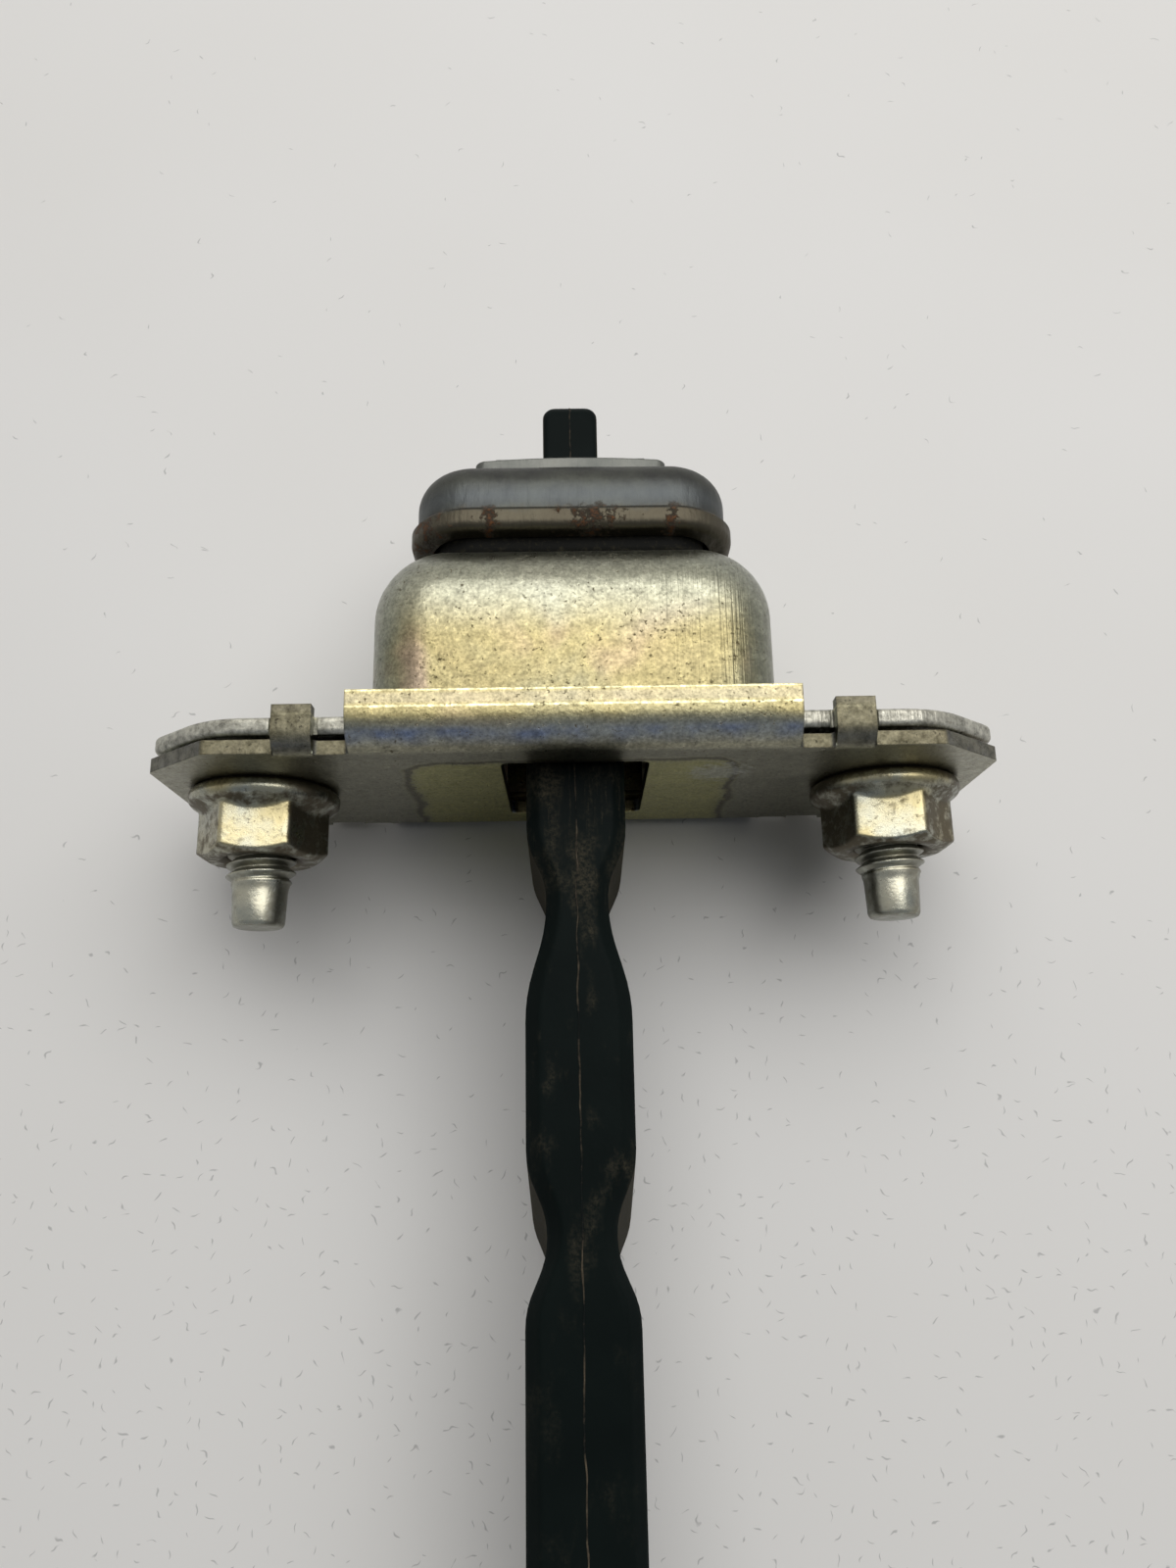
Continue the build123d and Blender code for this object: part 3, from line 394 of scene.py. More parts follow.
# %% Bright zinc
def bright_zinc(name, painted_top_cream, grime_and_shade_share):
    """Zinc-plated hardware with brown grime in patches and specks, brown painted shade in its corners and on
    its sides, and painted cream on its upward faces.
    """
    material, tree, shader, spot = start_finish(name)
    facing = add(tree, "SeparateXYZ", {0: add(tree, "TexCoord").outputs["Normal"]})
    cloud = add(tree, "TexNoise", {"Vector": spot, "Scale": 1 / 3.5, "Detail": 3.0}).outputs[0]
    tint = add(tree, "MapRange", {0: cloud, 1: 0.3, 2: 0.6}).outputs[0]
    # Painted reflection of warm light: cream where the zinc faces up, neutral grey on the sides
    level = add(tree, "MapRange", {0: facing.outputs["Z"], 1: 0.45, 2: 0.85, 3: 0.15}).outputs[0]
    tint = add(tree, "Math", {0: tint, 1: level}, operation="MULTIPLY").outputs[0]
    colour = add(tree, "Mix", {0: tint, 6: linear("#9c9f96"), 7: linear(painted_top_cream)}, data_type="RGBA").outputs[2]
    # Painted shade, mixed with grime: brown in corners found by ambient occlusion and on faces turned away from
    # up or to the right
    corner = add(tree, "AmbientOcclusion", {"Distance": 1.6 * mm}, samples=6).outputs["AO"]
    corner = add(tree, "MapRange", {0: corner, 1: 0.85, 2: 0.35, 4: 0.2}).outputs[0]
    under = add(tree, "MapRange", {0: facing.outputs["Z"], 1: 0.8, 2: 0.4, 4: 0.19}).outputs[0]
    painted_right_shade = add(tree, "MapRange", {0: facing.outputs["X"], 1: 0.35, 2: 0.7, 4: 0.21}).outputs[0]
    under = add(tree, "Math", {0: under, 1: painted_right_shade}, operation="MAXIMUM").outputs[0]
    grime_and_shade = add(tree, "Math", {0: corner, 1: under}, operation="ADD").outputs[0]
    patch = add(
        tree, "TexNoise", {"Vector": spot, "Scale": 1 / 1.3, "Detail": 6.0, "Roughness": 0.72}
    ).outputs[0]
    grime_and_shade = add(tree, "Math", {0: grime_and_shade, 1: patch}, operation="ADD").outputs[0]
    grime_and_shade = add(tree, "MapRange", {0: grime_and_shade, 1: 0.55, 2: 0.72, 4: grime_and_shade_share}).outputs[0]
    speck = add(
        tree, "TexNoise", {"Vector": spot, "Scale": 1 / 0.4, "Detail": 4.0, "Roughness": 0.7}
    ).outputs[0]
    speck = add(tree, "MapRange", {0: speck, 1: 0.58, 2: 0.70, 4: 0.7 * grime_and_shade_share}).outputs[0]
    grime_and_shade = add(tree, "Math", {0: grime_and_shade, 1: speck}, operation="MAXIMUM").outputs[0]
    colour = add(tree, "Mix", {0: grime_and_shade, 6: colour, 7: linear("#4a3d28")}, data_type="RGBA").outputs[2]
    tree.links.new(colour, shader.inputs["Base Color"])
    shader.inputs["Metallic"].default_value = 1.0
    gloss = add(tree, "MapRange", {0: cloud, 1: 0.3, 2: 0.7, 3: 0.20, 4: 0.32}).outputs[0]
    gloss = add(tree, "Math", {0: grime_and_shade, 1: 0.3, 2: gloss}, operation="MULTIPLY_ADD").outputs[0]
    tree.links.new(gloss, shader.inputs["Roughness"])
    # Forging scale of 1 mm; edges rounded by 0.12 mm
    height = add(tree, "Math", {0: patch, 1: 0.06}, operation="MULTIPLY").outputs[0]
    relief(tree, shader, height, 0.12)
    return material


nut_finish = bright_zinc("bright zinc on forged steel", "#b2a781", 0.8)
stud_finish = bright_zinc("bright zinc on rolled thread", "#b8b4a1", 0.4)
bracket_finish = bright_zinc("bright zinc on pressed bracket", "#b5b09a", 0.5)
dress(bracket_finish, "pillar_bracket", "pivot_rivet", "arm_core")
print("bright zinc on nuts, studs, bracket, rivet and strap")

# %% [markdown]
# ## Dull zinc with rust
# The stop's cup was drawn from steel and plated thinly, so it has gone matt grey. Its lip was sheared after
# plating, and there the bare steel rusts: orange-brown in the middle and at the left. Rust spreads from the
# lip in spots, so it is a noise that is let through only near places on the lip. A paler, bluish band lies
# just behind the lip.

# %% Dull zinc
def dull_zinc(name, darker, lighter, rusty):
    """Matt grey plated steel. Rusty tells how much of the lip has rusted. Heights are in mm."""
    material, tree, shader, spot = start_finish(name)
    cloud = add(tree, "TexNoise", {"Vector": spot, "Scale": 1 / 4, "Detail": 6.0, "Roughness": 0.7}).outputs[0]
    tint = add(tree, "MapRange", {0: cloud, 1: 0.35, 2: 0.65}).outputs[0]
    colour = add(tree, "Mix", {0: tint, 6: linear(darker), 7: linear(lighter)}, data_type="RGBA").outputs[2]
    spots = add(
        tree, "TexNoise", {"Vector": spot, "Scale": 1 / 1.5, "Detail": 7.0, "Roughness": 0.68}
    ).outputs[0]
    # Faint draw lines and a rough skin
    lines = add(tree, "VectorMath", {0: spot, 1: (1.2, 0.3, 0.5)}, operation="MULTIPLY").outputs[0]
    lines = add(tree, "TexNoise", {"Vector": lines, "Scale": 1.0, "Detail": 3.0}).outputs[0]
    height = add(tree, "Math", {0: lines, 1: 0.12}, operation="MULTIPLY").outputs[0]
    height = add(tree, "Math", {0: spots, 1: 0.07, 2: height}, operation="MULTIPLY_ADD").outputs[0]
    shader.inputs["Metallic"].default_value = 1.0
    shader.inputs["Roughness"].default_value = 0.48
    if rusty:
        # A bluish band behind the lip, and a brown film on the lip itself
        where = add(tree, "SeparateXYZ", {0: spot})
        bluish_band = add(tree, "Math", {0: where.outputs["Y"], 1: 23.6}, operation="SUBTRACT").outputs[0]
        bluish_band = add(tree, "Math", {0: bluish_band}, operation="ABSOLUTE").outputs[0]
        bluish_band = add(tree, "MapRange", {0: bluish_band, 1: 1.6, 2: 0.2, 4: 0.45}).outputs[0]
        colour = add(tree, "Mix", {0: bluish_band, 6: colour, 7: linear("#5b6064")}, data_type="RGBA").outputs[2]
        lip = add(tree, "Math", {0: spots, 1: -2.2, 2: where.outputs["Y"]}, operation="MULTIPLY_ADD").outputs[0]
        lip = add(tree, "MapRange", {0: lip, 1: 21.6, 2: 20.6}).outputs[0]
        brown = add(tree, "Math", {0: lip, 1: 0.6}, operation="MULTIPLY").outputs[0]
        colour = add(tree, "Mix", {0: brown, 6: colour, 7: linear("#544c3c")}, data_type="RGBA").outputs[2]
        # Rust in spots of 1 mm, near four places on the lip: dull, matt and raised
        near = None
        for centre, width in ((-12.5, 2.5), (-7.0, 1.2), (1.8, 4.2), (8.6, 1.0)):
            gap = add(tree, "Math", {0: where.outputs["X"], 1: centre}, operation="SUBTRACT").outputs[0]
            gap = add(tree, "Math", {0: gap}, operation="ABSOLUTE").outputs[0]
            close = add(tree, "MapRange", {0: gap, 1: width, 2: 0.0}).outputs[0]
            near = add(tree, "Math", {0: near or close, 1: close}, operation="MAXIMUM").outputs[0]
        flake = add(
            tree, "TexNoise", {"Vector": spot, "Scale": 1 / 0.8, "Detail": 8.0, "Roughness": 0.74}
        ).outputs[0]
        rust = add(tree, "Math", {0: near, 1: 0.24, 2: flake}, operation="MULTIPLY_ADD").outputs[0]
        rust = add(tree, "MapRange", {0: rust, 1: 0.64, 2: 0.76, 4: rusty}).outputs[0]
        rust = add(tree, "Math", {0: rust, 1: lip}, operation="MULTIPLY").outputs[0]
        flame = add(tree, "MapRange", {0: flake, 1: 0.48, 2: 0.68}).outputs[0]
        flame = add(
            tree, "Mix", {0: flame, 6: linear("#22160a"), 7: linear("#6a3f13")}, data_type="RGBA"
        ).outputs[2]
        colour = add(tree, "Mix", {0: rust, 6: colour, 7: flame}, data_type="RGBA").outputs[2]
        metal = add(tree, "MapRange", {0: rust, 3: 1.0, 4: 0.0}).outputs[0]
        tree.links.new(metal, shader.inputs["Metallic"])
        gloss = add(tree, "MapRange", {0: rust, 3: 0.48, 4: 0.85}).outputs[0]
        tree.links.new(gloss, shader.inputs["Roughness"])
        height = add(tree, "Math", {0: rust, 1: 0.08, 2: height}, operation="MULTIPLY_ADD").outputs[0]
    tree.links.new(colour, shader.inputs["Base Color"])
    # Edges rounded by 0.2 mm
    relief(tree, shader, height, 0.2)
    return material


cup_finish = dull_zinc("dull zinc on drawn steel, rusted lip", "#3c3d3c", "#4d4f4a", 0.95)
steel_finish = dull_zinc("dull zinc on blanked steel", "#585a57", "#6a6b67", 0.0)
dress(cup_finish, "stop_cup")
dress(steel_finish, "stop_retainer", "stop_pin", "shoe_backplate_left", "shoe_backplate_right")
print("dull zinc on the stop and behind the shoes")

# %% [markdown]
# ## Black moulded nylon
# The arm's cover is glass-filled nylon, moulded in black, which has a faint green cast and a low sheen. The
# shoes have rubbed its flanks grey, and fine beige dust lies where grease caught it: close to the case and
# in the pinched places, thinning towards the pivot. Dust could be a second layer, but here it only mixes
# into the colour and roughens it, through fine noise times broad patches.

# %% Black nylon
nylon_finish, tree, shader, spot = start_finish("black glass-filled nylon, moulded")
where = add(tree, "SeparateXYZ", {0: spot})
facing = add(tree, "SeparateXYZ", {0: add(tree, "TexCoord").outputs["Normal"]})
cloud = add(tree, "TexNoise", {"Vector": spot, "Scale": 1 / 6, "Detail": 3.0}).outputs[0]
colour = add(tree, "Mix", {0: cloud, 6: linear("#0c1111"), 7: linear("#141b1a")}, data_type="RGBA").outputs[2]
# Dust gathers close to the case and beside the pinched places
close = add(tree, "MapRange", {0: where.outputs["Y"], 1: -14.0, 2: -7.0}).outputs[0]
gather = add(tree, "Math", {0: close, 1: 0.13}, operation="MULTIPLY").outputs[0]
for pinch, share in ((-8.5, 0.10), (-34.0, 0.04)):
    gap = add(tree, "Math", {0: where.outputs["Y"], 1: pinch}, operation="SUBTRACT").outputs[0]
    gap = add(tree, "Math", {0: gap}, operation="ABSOLUTE").outputs[0]
    gap = add(tree, "MapRange", {0: gap, 1: 6.0, 2: 1.0, 4: share}).outputs[0]
    gather = add(tree, "Math", {0: gather, 1: gap}, operation="MAXIMUM").outputs[0]
drawn = add(tree, "VectorMath", {0: spot, 1: (0.36, 0.17, 0.2)}, operation="MULTIPLY").outputs[0]
patch = add(tree, "TexNoise", {"Vector": drawn, "Scale": 1.0, "Detail": 4.0, "Roughness": 0.6}).outputs[0]
fine = add(tree, "TexNoise", {"Vector": spot, "Scale": 1 / 0.35, "Detail": 4.0, "Roughness": 0.75}).outputs[0]
dust = add(tree, "Math", {0: gather, 1: patch}, operation="ADD").outputs[0]
dust = add(tree, "MapRange", {0: dust, 1: 0.53, 2: 0.75, 4: 0.50}, interpolation_type="SMOOTHSTEP").outputs[0]
grained = add(tree, "MapRange", {0: fine, 1: 0.40, 2: 0.66, 3: 0.05}).outputs[0]
dust = add(tree, "Math", {0: dust, 1: grained}, operation="MULTIPLY").outputs[0]
# Fine scratches close to the case, broken up by the grain
scratch = add(tree, "VectorMath", {0: spot, 1: (3.2, 0.30, 0.5)}, operation="MULTIPLY").outputs[0]
scratch = add(tree, "TexNoise", {"Vector": scratch, "Scale": 1.0, "Detail": 5.0, "Roughness": 0.65}).outputs[0]
scratch = add(tree, "MapRange", {0: scratch, 1: 0.55, 2: 0.70, 4: 0.40}).outputs[0]
scratch = add(tree, "Math", {0: scratch, 1: close}, operation="MULTIPLY").outputs[0]
scratch = add(tree, "Math", {0: scratch, 1: grained}, operation="MULTIPLY").outputs[0]
dust = add(tree, "Math", {0: dust, 1: scratch}, operation="MAXIMUM").outputs[0]
ahead_of = add(tree, "MapRange", {0: where.outputs["Y"], 1: 17.0, 2: 12.0}).outputs[0]
dust = add(tree, "Math", {0: dust, 1: ahead_of}, operation="MULTIPLY").outputs[0]
# Little dust beyond the second pinch
wiped = add(tree, "MapRange", {0: where.outputs["Y"], 1: -42.0, 2: -34.0, 3: 0.25}).outputs[0]
dust = add(tree, "Math", {0: dust, 1: wiped}, operation="MULTIPLY").outputs[0]
# Flanks rubbed grey by the shoes, as far as they reach
flank = add(tree, "Math", {0: facing.outputs["X"]}, operation="ABSOLUTE").outputs[0]
flank = add(tree, "MapRange", {0: flank, 1: 0.75, 2: 0.95}).outputs[0]
reached = add(tree, "MapRange", {0: where.outputs["Y"], 1: -62.0, 2: -50.0, 4: 0.5}).outputs[0]
rubbed = add(tree, "Math", {0: flank, 1: reached}, operation="MULTIPLY").outputs[0]
rub_noise = add(tree, "MapRange", {0: fine, 1: 0.3, 2: 0.6, 3: 0.4}).outputs[0]
rubbed = add(tree, "Math", {0: rubbed, 1: rub_noise}, operation="MULTIPLY").outputs[0]
dust = add(tree, "Math", {0: dust, 1: rubbed}, operation="MAXIMUM").outputs[0]
colour = add(tree, "Mix", {0: dust, 6: colour, 7: linear("#5a5446")}, data_type="RGBA").outputs[2]
tree.links.new(colour, shader.inputs["Base Color"])
gloss = add(tree, "MapRange", {0: dust, 2: 0.5, 3: 0.38, 4: 0.85}).outputs[0]
tree.links.new(gloss, shader.inputs["Roughness"])
shader.inputs["IOR"].default_value = 1.53
shader.inputs["Specular IOR Level"].default_value = 0.02
# Glass fibres leave a grain of 0.4 mm, and the tool's chamfers are worn round
grain = add(tree, "Math", {0: fine, 1: 0.012}, operation="MULTIPLY").outputs[0]
grain = add(tree, "Math", {0: patch, 1: 0.06, 2: grain}, operation="MULTIPLY_ADD").outputs[0]
relief(tree, shader, grain, 0.7, samples=6)
dress(nylon_finish, "arm_sleeve")
print("nylon on the arm")

# %% [markdown]
# ## Natural nylon
# The shoes and the pivot's bushes are moulded in natural nylon: a milky cream, slightly waxy, and stained
# by grease. A little light goes into it, so a touch of subsurface softens it.

# %% Natural nylon
cream_finish, tree, shader, spot = start_finish("natural nylon, moulded")
stain = add(tree, "TexNoise", {"Vector": spot, "Scale": 1 / 4, "Detail": 4.0}).outputs[0]
stain = add(tree, "MapRange", {0: stain, 1: 0.45, 2: 0.7, 4: 0.6}).outputs[0]
colour = add(tree, "Mix", {0: stain, 6: linear("#d8d1bd"), 7: linear("#a8997a")}, data_type="RGBA").outputs[2]
tree.links.new(colour, shader.inputs["Base Color"])
gloss = add(tree, "MapRange", {0: stain, 3: 0.38, 4: 0.55}).outputs[0]
tree.links.new(gloss, shader.inputs["Roughness"])
shader.inputs["IOR"].default_value = 1.53
shader.inputs["Subsurface Weight"].default_value = 0.1
shader.inputs["Subsurface Scale"].default_value = 1.0 * mm
grain = add(tree, "TexNoise", {"Vector": spot, "Scale": 1 / 0.6, "Detail": 2.0}).outputs[0]
bump = add(tree, "Bump", {"Strength": 0.2, "Distance": 0.04 * mm, "Height": grain})
tree.links.new(bump.outputs[0], shader.inputs["Normal"])
dress(cream_finish, "shoe_left", "shoe_right", "pivot_bush_left", "pivot_bush_right")
print("natural nylon on shoes and bushes")

# %% [markdown]
# ## Black rubber
# The stop's buffer and the two springs are moulded rubber: nearly black, matt, with pale bloom and dust
# that cling to it in fine specks.

# %% Rubber
rubber_finish, tree, shader, spot = start_finish("black rubber, moulded")
bloom = add(tree, "TexNoise", {"Vector": spot, "Scale": 1 / 0.5, "Detail": 4.0, "Roughness": 0.7}).outputs[0]
bloom = add(tree, "MapRange", {0: bloom, 1: 0.54, 2: 0.75, 4: 0.4}).outputs[0]
colour = add(tree, "Mix", {0: bloom, 6: linear("#161614"), 7: linear("#55503f")}, data_type="RGBA").outputs[2]
tree.links.new(colour, shader.inputs["Base Color"])
gloss = add(tree, "MapRange", {0: bloom, 3: 0.62, 4: 0.9}).outputs[0]
tree.links.new(gloss, shader.inputs["Roughness"])
shader.inputs["Specular IOR Level"].default_value = 0.12
bump = add(tree, "Bump", {"Strength": 0.35, "Distance": 0.08 * mm, "Height": bloom})
tree.links.new(bump.outputs[0], shader.inputs["Normal"])
print("rubber for the buffer and the springs")

# %% [markdown]
# ## A skin through rings
# Threads, nuts and rubber are remade as meshes. All of them can be seen as rings of points, one after the
# other along an axis, with a skin between them, as a boat is planked over its ribs. One function joins the
# rings. If the last ring is joined to the first again, the skin has a hole through it, as a nut has.

# %% Skin function
def skin(name, rings, finish, ring_shaped=False):
    """A mesh piece over rings of points in millimetres. Open ends are closed by a face."""
    shell = bmesh.new()
    loops = [[shell.verts.new([c * mm for c in point]) for point in ring] for ring in rings]
    count = len(rings[0])
    pairs = list(zip(loops, loops[1:])) + ([(loops[-1], loops[0])] if ring_shaped else [])
    for near, far in pairs:
        for k in range(count):
            after = (k + 1) % count
            shell.faces.new((near[k], near[after], far[after], far[k]))
    if not ring_shaped:
        shell.faces.new(loops[0][::-1])
        shell.faces.new(loops[-1])
    bmesh.ops.recalc_face_normals(shell, faces=shell.faces)
    for face in shell.faces:
        face.smooth = True
    mesh = bpy.data.meshes.new(name)
    shell.to_mesh(mesh)
    shell.free()
    mesh.set_sharp_from_angle(angle=radians(40))
    mesh.materials.append(finish)
    piece = bpy.data.objects.new(name, mesh)
    scene.collection.objects.link(piece)
    return piece


print("skin ready")

# %% [markdown]
# ## The studs
# Each stud is pressed in from behind, so it has a flat head behind the wing, and it ends in a plain dog
# point that helps to find the hole in the door. The thread could be stacked rings, but a real one climbs:
# its height depends on the angle as well as on the place along the axis. M6 has a pitch of 1 mm and is
# right-handed. At the run-out it fades into the dog point.

# %% Studs with a climbing thread
stud_x = (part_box("stud_right")[0][0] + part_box("stud_right")[1][0]) / 2 / mm
thread_pitch, thread_crest, thread_root = 1.0, 3.0, 2.42
thread_from, thread_to, runout = -5.0, -7.5, 0.8
dog_radius, dog_taper, runout_radius = 2.40, 0.16, 2.52
head_radius, head_thick, press_radius, core_radius = 5.5, 2.0, 3.19, 2.6
neck_rise, neck_length, root_share, flank_share = 0.12, 0.35, 0.10, 0.78
ring_step = 0.05
dog_from, dog_tip = thread_to - runout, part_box("stud_right")[0][1] / mm


def stud_radius(y, angle):
    """Radius of the threaded length and the dog point at one place."""
    if y < dog_from:
        share = (dog_from - y) / (dog_from - dog_tip)
        neck = neck_rise * exp(-(((dog_from - y) / neck_length) ** 2))
        return dog_radius - dog_taper * share + neck
    climb = (y / thread_pitch - angle / (2 * pi)) % 1.0
    crest = 1 - abs(2 * climb - 1)
    crest = min(max((crest - root_share) / flank_share, 0.0), 1.0)
    height = thread_root + (thread_crest - thread_root) * crest
    fade = min(max((y - dog_from) / runout, 0.0), 1.0)
    return runout_radius + (height - runout_radius) * min(1.0, 1.4 * fade)


def make_stud(name, x):
    """One stud, from its head behind the wing to the tip of its dog point."""
    count = 72
    head_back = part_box(name)[1][1] / mm
    head_front = head_back - head_thick
    profile = [(head_back, 5.15), (head_back - 0.12, 5.4), (head_back - 0.35, head_radius)]
    profile += [(head_front + 0.1, head_radius), (head_front, 5.4), (head_front, press_radius)]
    profile += [(0.1, press_radius), (0.0, core_radius), (-4.6, core_radius)]
    steps = [thread_from - ring_step * k for k in range(int((thread_from - dog_from) / ring_step) + 1)]
    steps += [dog_from - 0.1, dog_from - 0.25, dog_from - 0.45, dog_from - 0.8, dog_from - 1.6, dog_tip + 0.45]
    rings = []
    for y, radius in profile:
        rings.append([(radius, 2 * pi * k / count, y) for k in range(count)])
    for y in steps:
        rings.append([(stud_radius(y, 2 * pi * k / count), 2 * pi * k / count, y) for k in range(count)])
    for y, radius in ((dog_tip + 0.28, 2.2), (dog_tip + 0.1, 2.1), (dog_tip + 0.02, 1.9), (dog_tip, 1.5)):
        rings.append([(radius, 2 * pi * k / count, y) for k in range(count)])
    points = [[(x + r * sin(a), y, r * cos(a)) for r, a, y in ring] for ring in rings]
    stud = skin("threaded_" + name, points, stud_finish)
    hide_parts(name)
    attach(stud, "case")
    return stud


for name, x in (("stud_left", -stud_x), ("stud_right", stud_x)):
    stud = make_stud(name, x)
    print(stud.name, len(stud.data.vertices), "points")

# %% [markdown]
# ## The flange nuts
# A flange nut is a hexagon on a round washer face. Its corners are turned off in a cone, which leaves the
# curved edge that each flat has in front, and the flange runs up into the flats in a hollow. All of this is
# one radius for each angle and height: the smaller of hexagon and cone, and the larger of that and the
# flange. Taking the smaller or larger softly rounds every edge, as forging does.

# %% Flange nuts
def softer_of(first, second, blend):
    """The larger of two lengths with a rounded change-over. A negative blend gives the smaller."""
    return blend * log(exp((first - second) / blend) + 1) + second


half_flats, corner_radius, bore_radius = 5.0, 5.70, 3.06
nut_top, top_radius, chamfer_slope = 6.25, 4.62, 1.55
corner_blend, cone_blend, flange_blend = -0.05, -0.06, 0.09
flange_points = [(0.0, 6.1), (0.12, 6.3), (0.30, 6.46), (0.5, 6.56), (0.75, 6.6), (1.0, 6.57), (1.22, 6.48)]
flange_points += [(1.40, 6.33), (1.55, 6.12), (1.68, 5.9), (1.85, 5.66), (2.1, 5.35), (2.5, 4.9), (3.2, 4.2)]
flange_points += [(6.3, 1.0)]


def nut_radius(height, angle, flat_angle):
    """Radius of the nut at a height above the plate. Angle runs from up (+Z) to the right (+X)."""
    for (low, inner), (high, outer) in zip(flange_points, flange_points[1:]):
        if low <= height <= high:
            flange = inner + (outer - inner) * (height - low) / (high - low)
    step = pi / 3
    off = (angle - flat_angle + step / 2) % step - step / 2
    hexagon = softer_of(half_flats / cos(off), corner_radius, corner_blend)
    cone = top_radius + (nut_top - height) * chamfer_slope
    body = softer_of(hexagon, cone, cone_blend)
    return softer_of(body, flange, flange_blend)


def make_nut(name, x, turn_degrees):
    """One nut on its stud, turned as it was left by the spanner."""
    count = 180
    heights = [0.0, 0.1, 0.2, 0.3, 0.5, 0.8, 1.0] + [1.15 + 0.075 * k for k in range(20)]
    heights += [2.8, 3.2, 3.8, 4.4, 4.9] + [5.15 + 0.055 * k for k in range(21)]
    angles = [2 * pi * k / count for k in range(count)]
    flat = -radians(turn_degrees)
    rings = [[(nut_radius(h, a, flat), a, h) for a in angles] for h in heights]
    bore = [(4.35, nut_top), (3.75, nut_top), (3.5, 6.2), (bore_radius, 5.75), (bore_radius, 0.35), (3.3, 0.0)]
    for radius, height in bore:
        rings.append([(radius, a, height) for a in angles])
    points = [[(x + r * sin(a), -h, r * cos(a)) for r, a, h in ring] for ring in rings]
    nut = skin("forged_" + name, points, nut_finish, ring_shaped=True)
    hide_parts(name)
    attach(nut, "case")
    return nut


for name, x, turn_degrees in (("nut_left", -stud_x, -5.5), ("nut_right", stud_x, 11.0)):
    nut = make_nut(name, x, turn_degrees)
    print(nut.name, len(nut.data.vertices), "points")

# %% [markdown]
# ## Rubber pieces
# Rubber is never a sharp block. The buffer is squeezed between case and cup, so it swells a little where it
# is free, and the tail of the arm passes through it. The springs behind the shoes are blocks with soft edges,
# rounded to fit the corner of the case. Both start from an outline with rounded corners, which is drawn in at
# the ends.

# %% Rounded outlines
def rounded_outline(corners, draw_in=0.0, steps=8):
    """Points round a polygon whose corners are (a, b, radius), counter-clockwise, drawn in on all sides."""
    points = []
    for k, (a, b, radius) in enumerate(corners):
        before, after = Vector(corners[k - 1][:2]), Vector(corners[(k + 1) % len(corners)][:2])
        corner = Vector((a, b))
        back = (before - corner).normalized()
        on = (after - corner).normalized()
        centre = corner + (back + on) * radius
        bend = max(radius - draw_in, 0.05)
        inset = (back + on) * max(draw_in - radius + 0.05, 0.0)
        for step in range(steps + 1):
            angle = pi / 2 * step / steps
            points.append(centre + inset - (on * cos(angle) + back * sin(angle)) * bend)
    return points


low, high = [[c / mm for c in point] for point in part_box("stop_cushion")]
half_wide, half_high, front, rear = high[0], high[2], low[1], high[1]
outer_corner, hole_corner, hole_wide, hole_high = 3.6, 0.5, 2.7, 6.2
outer = [(half_wide, -half_high, outer_corner), (half_wide, half_high, outer_corner)]
outer += [(-half_wide, half_high, outer_corner), (-half_wide, -half_high, outer_corner)]
hole = [(hole_wide, -hole_high, hole_corner), (hole_wide, hole_high, hole_corner)]
hole += [(-hole_wide, hole_high, hole_corner), (-hole_wide, -hole_high, hole_corner)]
swell = [(front, 1.0), (front + 0.08, 0.55), (front + 0.3, 0.2), (front + 0.7, 0.0), (front + 1.3, -0.1)]
swell += [(front + 2.0, -0.06), (front + 2.6, 0.05), (rear - 0.9, 0.05), (rear - 0.3, 0.3), (rear, 0.9)]
rings = [[(p.x, y, p.y) for p in rounded_outline(outer, draw_in)] for y, draw_in in swell]
rings += [[(p.x, y, p.y) for p in rounded_outline(hole)] for y in (rear, front)]
buffer = skin("rubber_buffer", rings, rubber_finish, ring_shaped=True)
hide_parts("stop_cushion")
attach(buffer, "arm")
print("buffer", round(2 * half_wide, 1), "x", round(2 * half_high, 1), "x", round(rear - front, 1), "mm")

# %% Springs behind the shoes
for side, name in ((-1, "rubber_spring_left"), (1, "rubber_spring_right")):
    low, high = [[c / mm for c in point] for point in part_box(name)]
    inner, wall = sorted((abs(low[0]), abs(high[0])))
    plan = [(inner, low[1], 0.7), (wall, low[1], 0.7), (wall, high[1], 4.2), (inner, high[1], 0.7)]
    tall = high[2]
    upper = [(0.4, 0.1), (0.85, 0.0), (0.95, 0.12), (0.985, 0.4), (1, 0.75)]
    levels = [(-z, draw_in) for z, draw_in in upper[::-1]] + [(0, 0.14)] + upper
    rings = []
    for z, draw_in in levels:
        rings.append([(side * p.x, p.y, z * tall) for p in rounded_outline(plan, draw_in)])
    spring = skin("moulded_" + name, rings, rubber_finish)
    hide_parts(name)
    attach(spring, "case")
    print(spring.name, round(wall - inner, 2), "mm thick")

# %% [markdown]
# ## The parting line
# The arm was moulded in two halves, and where they met a thin ridge of flash is left along the middle of
# its narrow faces. It could be a line in the material, but a real ridge catches the light and the dust. It is
# a low roof, about 0.2 mm wide, swept along the arm with a small wobble from noise.

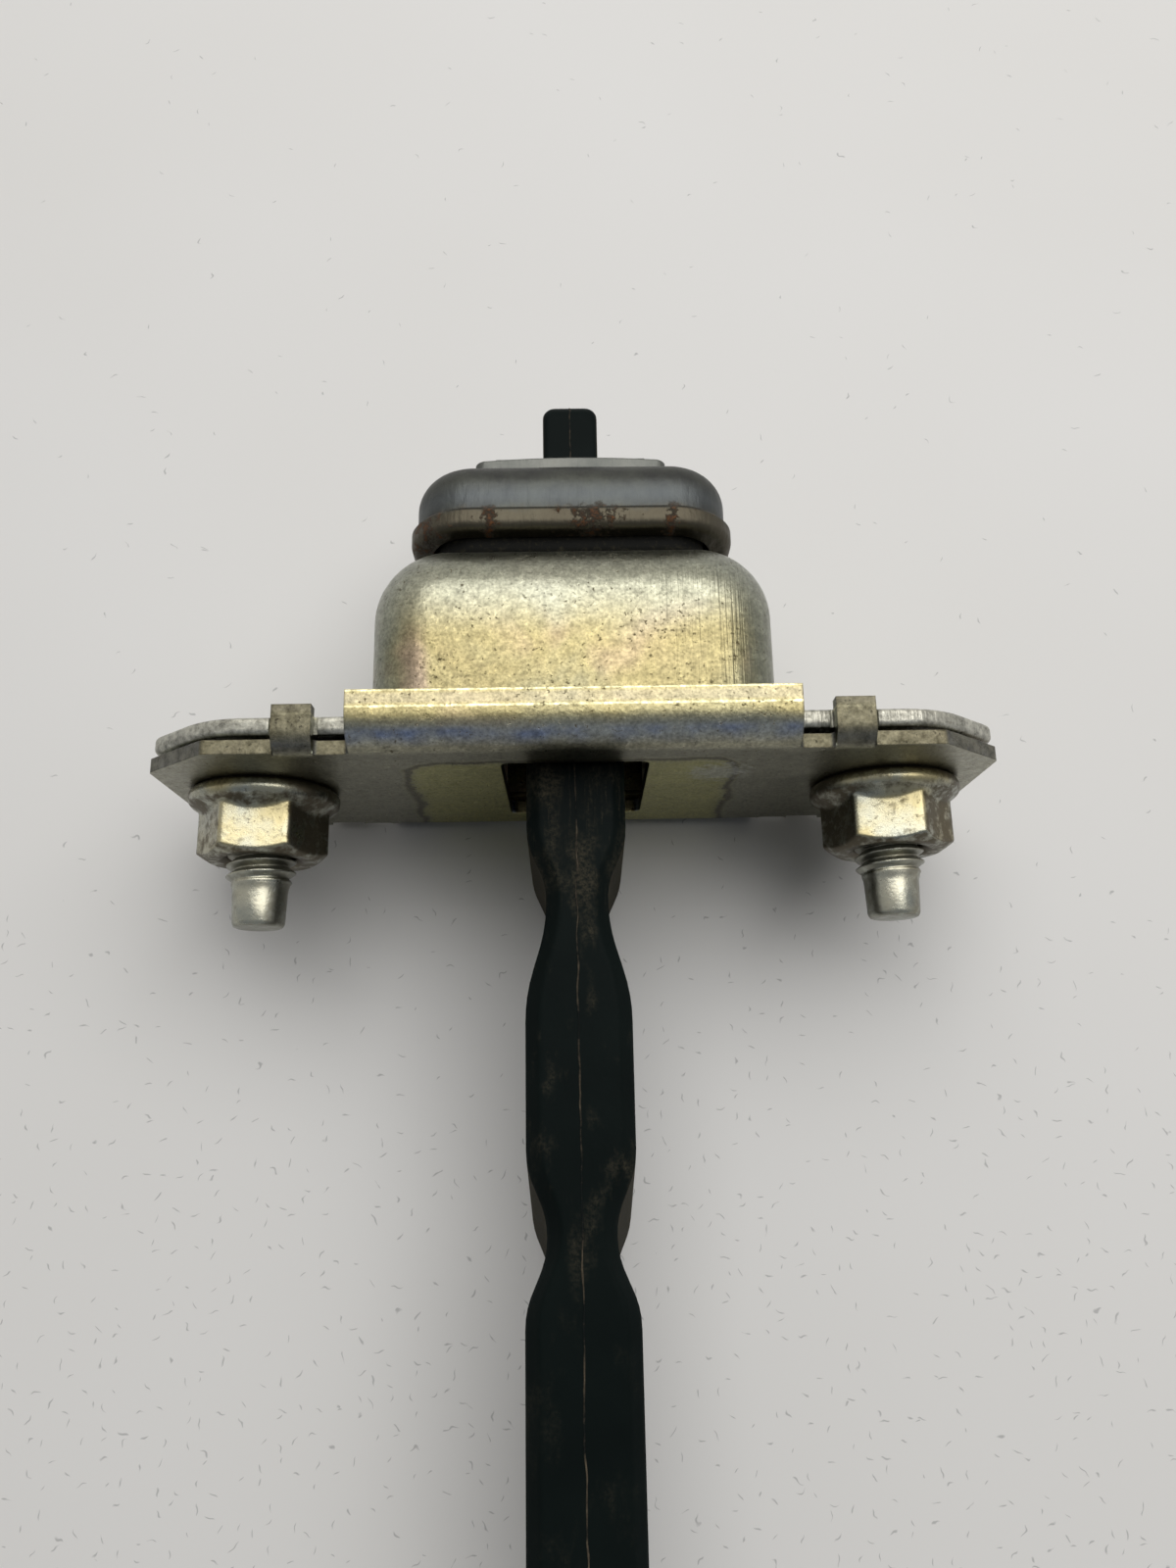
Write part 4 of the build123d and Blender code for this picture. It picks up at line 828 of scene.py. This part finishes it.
# %% Parting line
flash_finish, tree, shader, spot = start_finish("black nylon flash, dusty")
fine = add(tree, "TexNoise", {"Vector": spot, "Scale": 1 / 4, "Detail": 6.0, "Roughness": 0.75}).outputs[0]
fine = add(tree, "MapRange", {0: fine, 1: 0.45, 2: 0.70}).outputs[0]
colour = add(tree, "Mix", {0: fine, 6: linear("#0c1111"), 7: linear("#62584a")}, data_type="RGBA").outputs[2]
tree.links.new(colour, shader.inputs["Base Color"])
shader.inputs["Roughness"].default_value = 0.7
shader.inputs["IOR"].default_value = 1.53
shader.inputs["Specular IOR Level"].default_value = 0.08
low, high = [[c / mm for c in point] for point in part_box("arm_sleeve")]
arm_top, tail_top, tail_from, tail_end = high[2], 6.0, 18.7, high[1]
run_step, tail_bend, tail_middle = 0.7, 1.6, 25.0
half_width, ridge_height, sunk, wander = 0.09, 0.05, 0.05, 0.16
upper_count = int((tail_from - low[1] - 0.4) / run_step) + 1
upper_run = [(low[1] + 0.2 + run_step * k, arm_top) for k in range(upper_count)]
under_run = [(y, -z) for y, z in upper_run]
tail_run = [(tail_from + 0.2 + run_step * k, tail_top) for k in range(21)]
bend_centre = (tail_end - tail_bend, tail_top - tail_bend)
tail_run = [point for point in tail_run if point[0] < bend_centre[0]]
for step in range(7):
    angle = pi / 2 * (1 - step / 6)
    tail_run.append((bend_centre[0] + tail_bend * cos(angle), bend_centre[1] + tail_bend * sin(angle)))
tail_run += [(tail_end, bend_centre[1] - 1.1 * k) for k in range(1, 8)]
tail_run += [(y, -z) for y, z in tail_run[::-1] if z > tail_top - 1.7]
for name, run in (
    ("parting_line_top", upper_run),
    ("parting_line_under", under_run),
    ("parting_line_tail", tail_run),
):
    rings = []
    for k, (y, z) in enumerate(run):
        y_on, z_on = run[min(k + 1, len(run) - 1)]
        y_off, z_off = run[max(k - 1, 0)]
        along = Vector((y_on - y_off, z_on - z_off)).normalized()
        out = Vector((-along.y, along.x))
        away = Vector((y - tail_middle, z)) if name == "parting_line_tail" else Vector((0, z))
        if out.dot(away) < 0:
            out = -out
        wobble = noise.noise((y * 0.5, z * 0.5, 3.0)) + 0.5 * noise.noise((y * 1.9, z * 1.9, 7.0))
        wide = half_width + 0.05 * noise.noise((y * 1.7, z * 1.7, 9.0))
        tall = ridge_height + 0.03 * noise.noise((y * 2.3, z * 2.3, 5.0))
        ring = []
        for across, rise in ((-wide, -sunk), (-0.5 * wide, tall), (0.5 * wide, tall), (wide, -sunk)):
            ring.append((wander * wobble + across, y + out.x * rise, z + out.y * rise))
        rings.append(ring)
    ridge = skin(name, rings, flash_finish)
    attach(ridge, "arm")
    print(name, len(run), "steps")
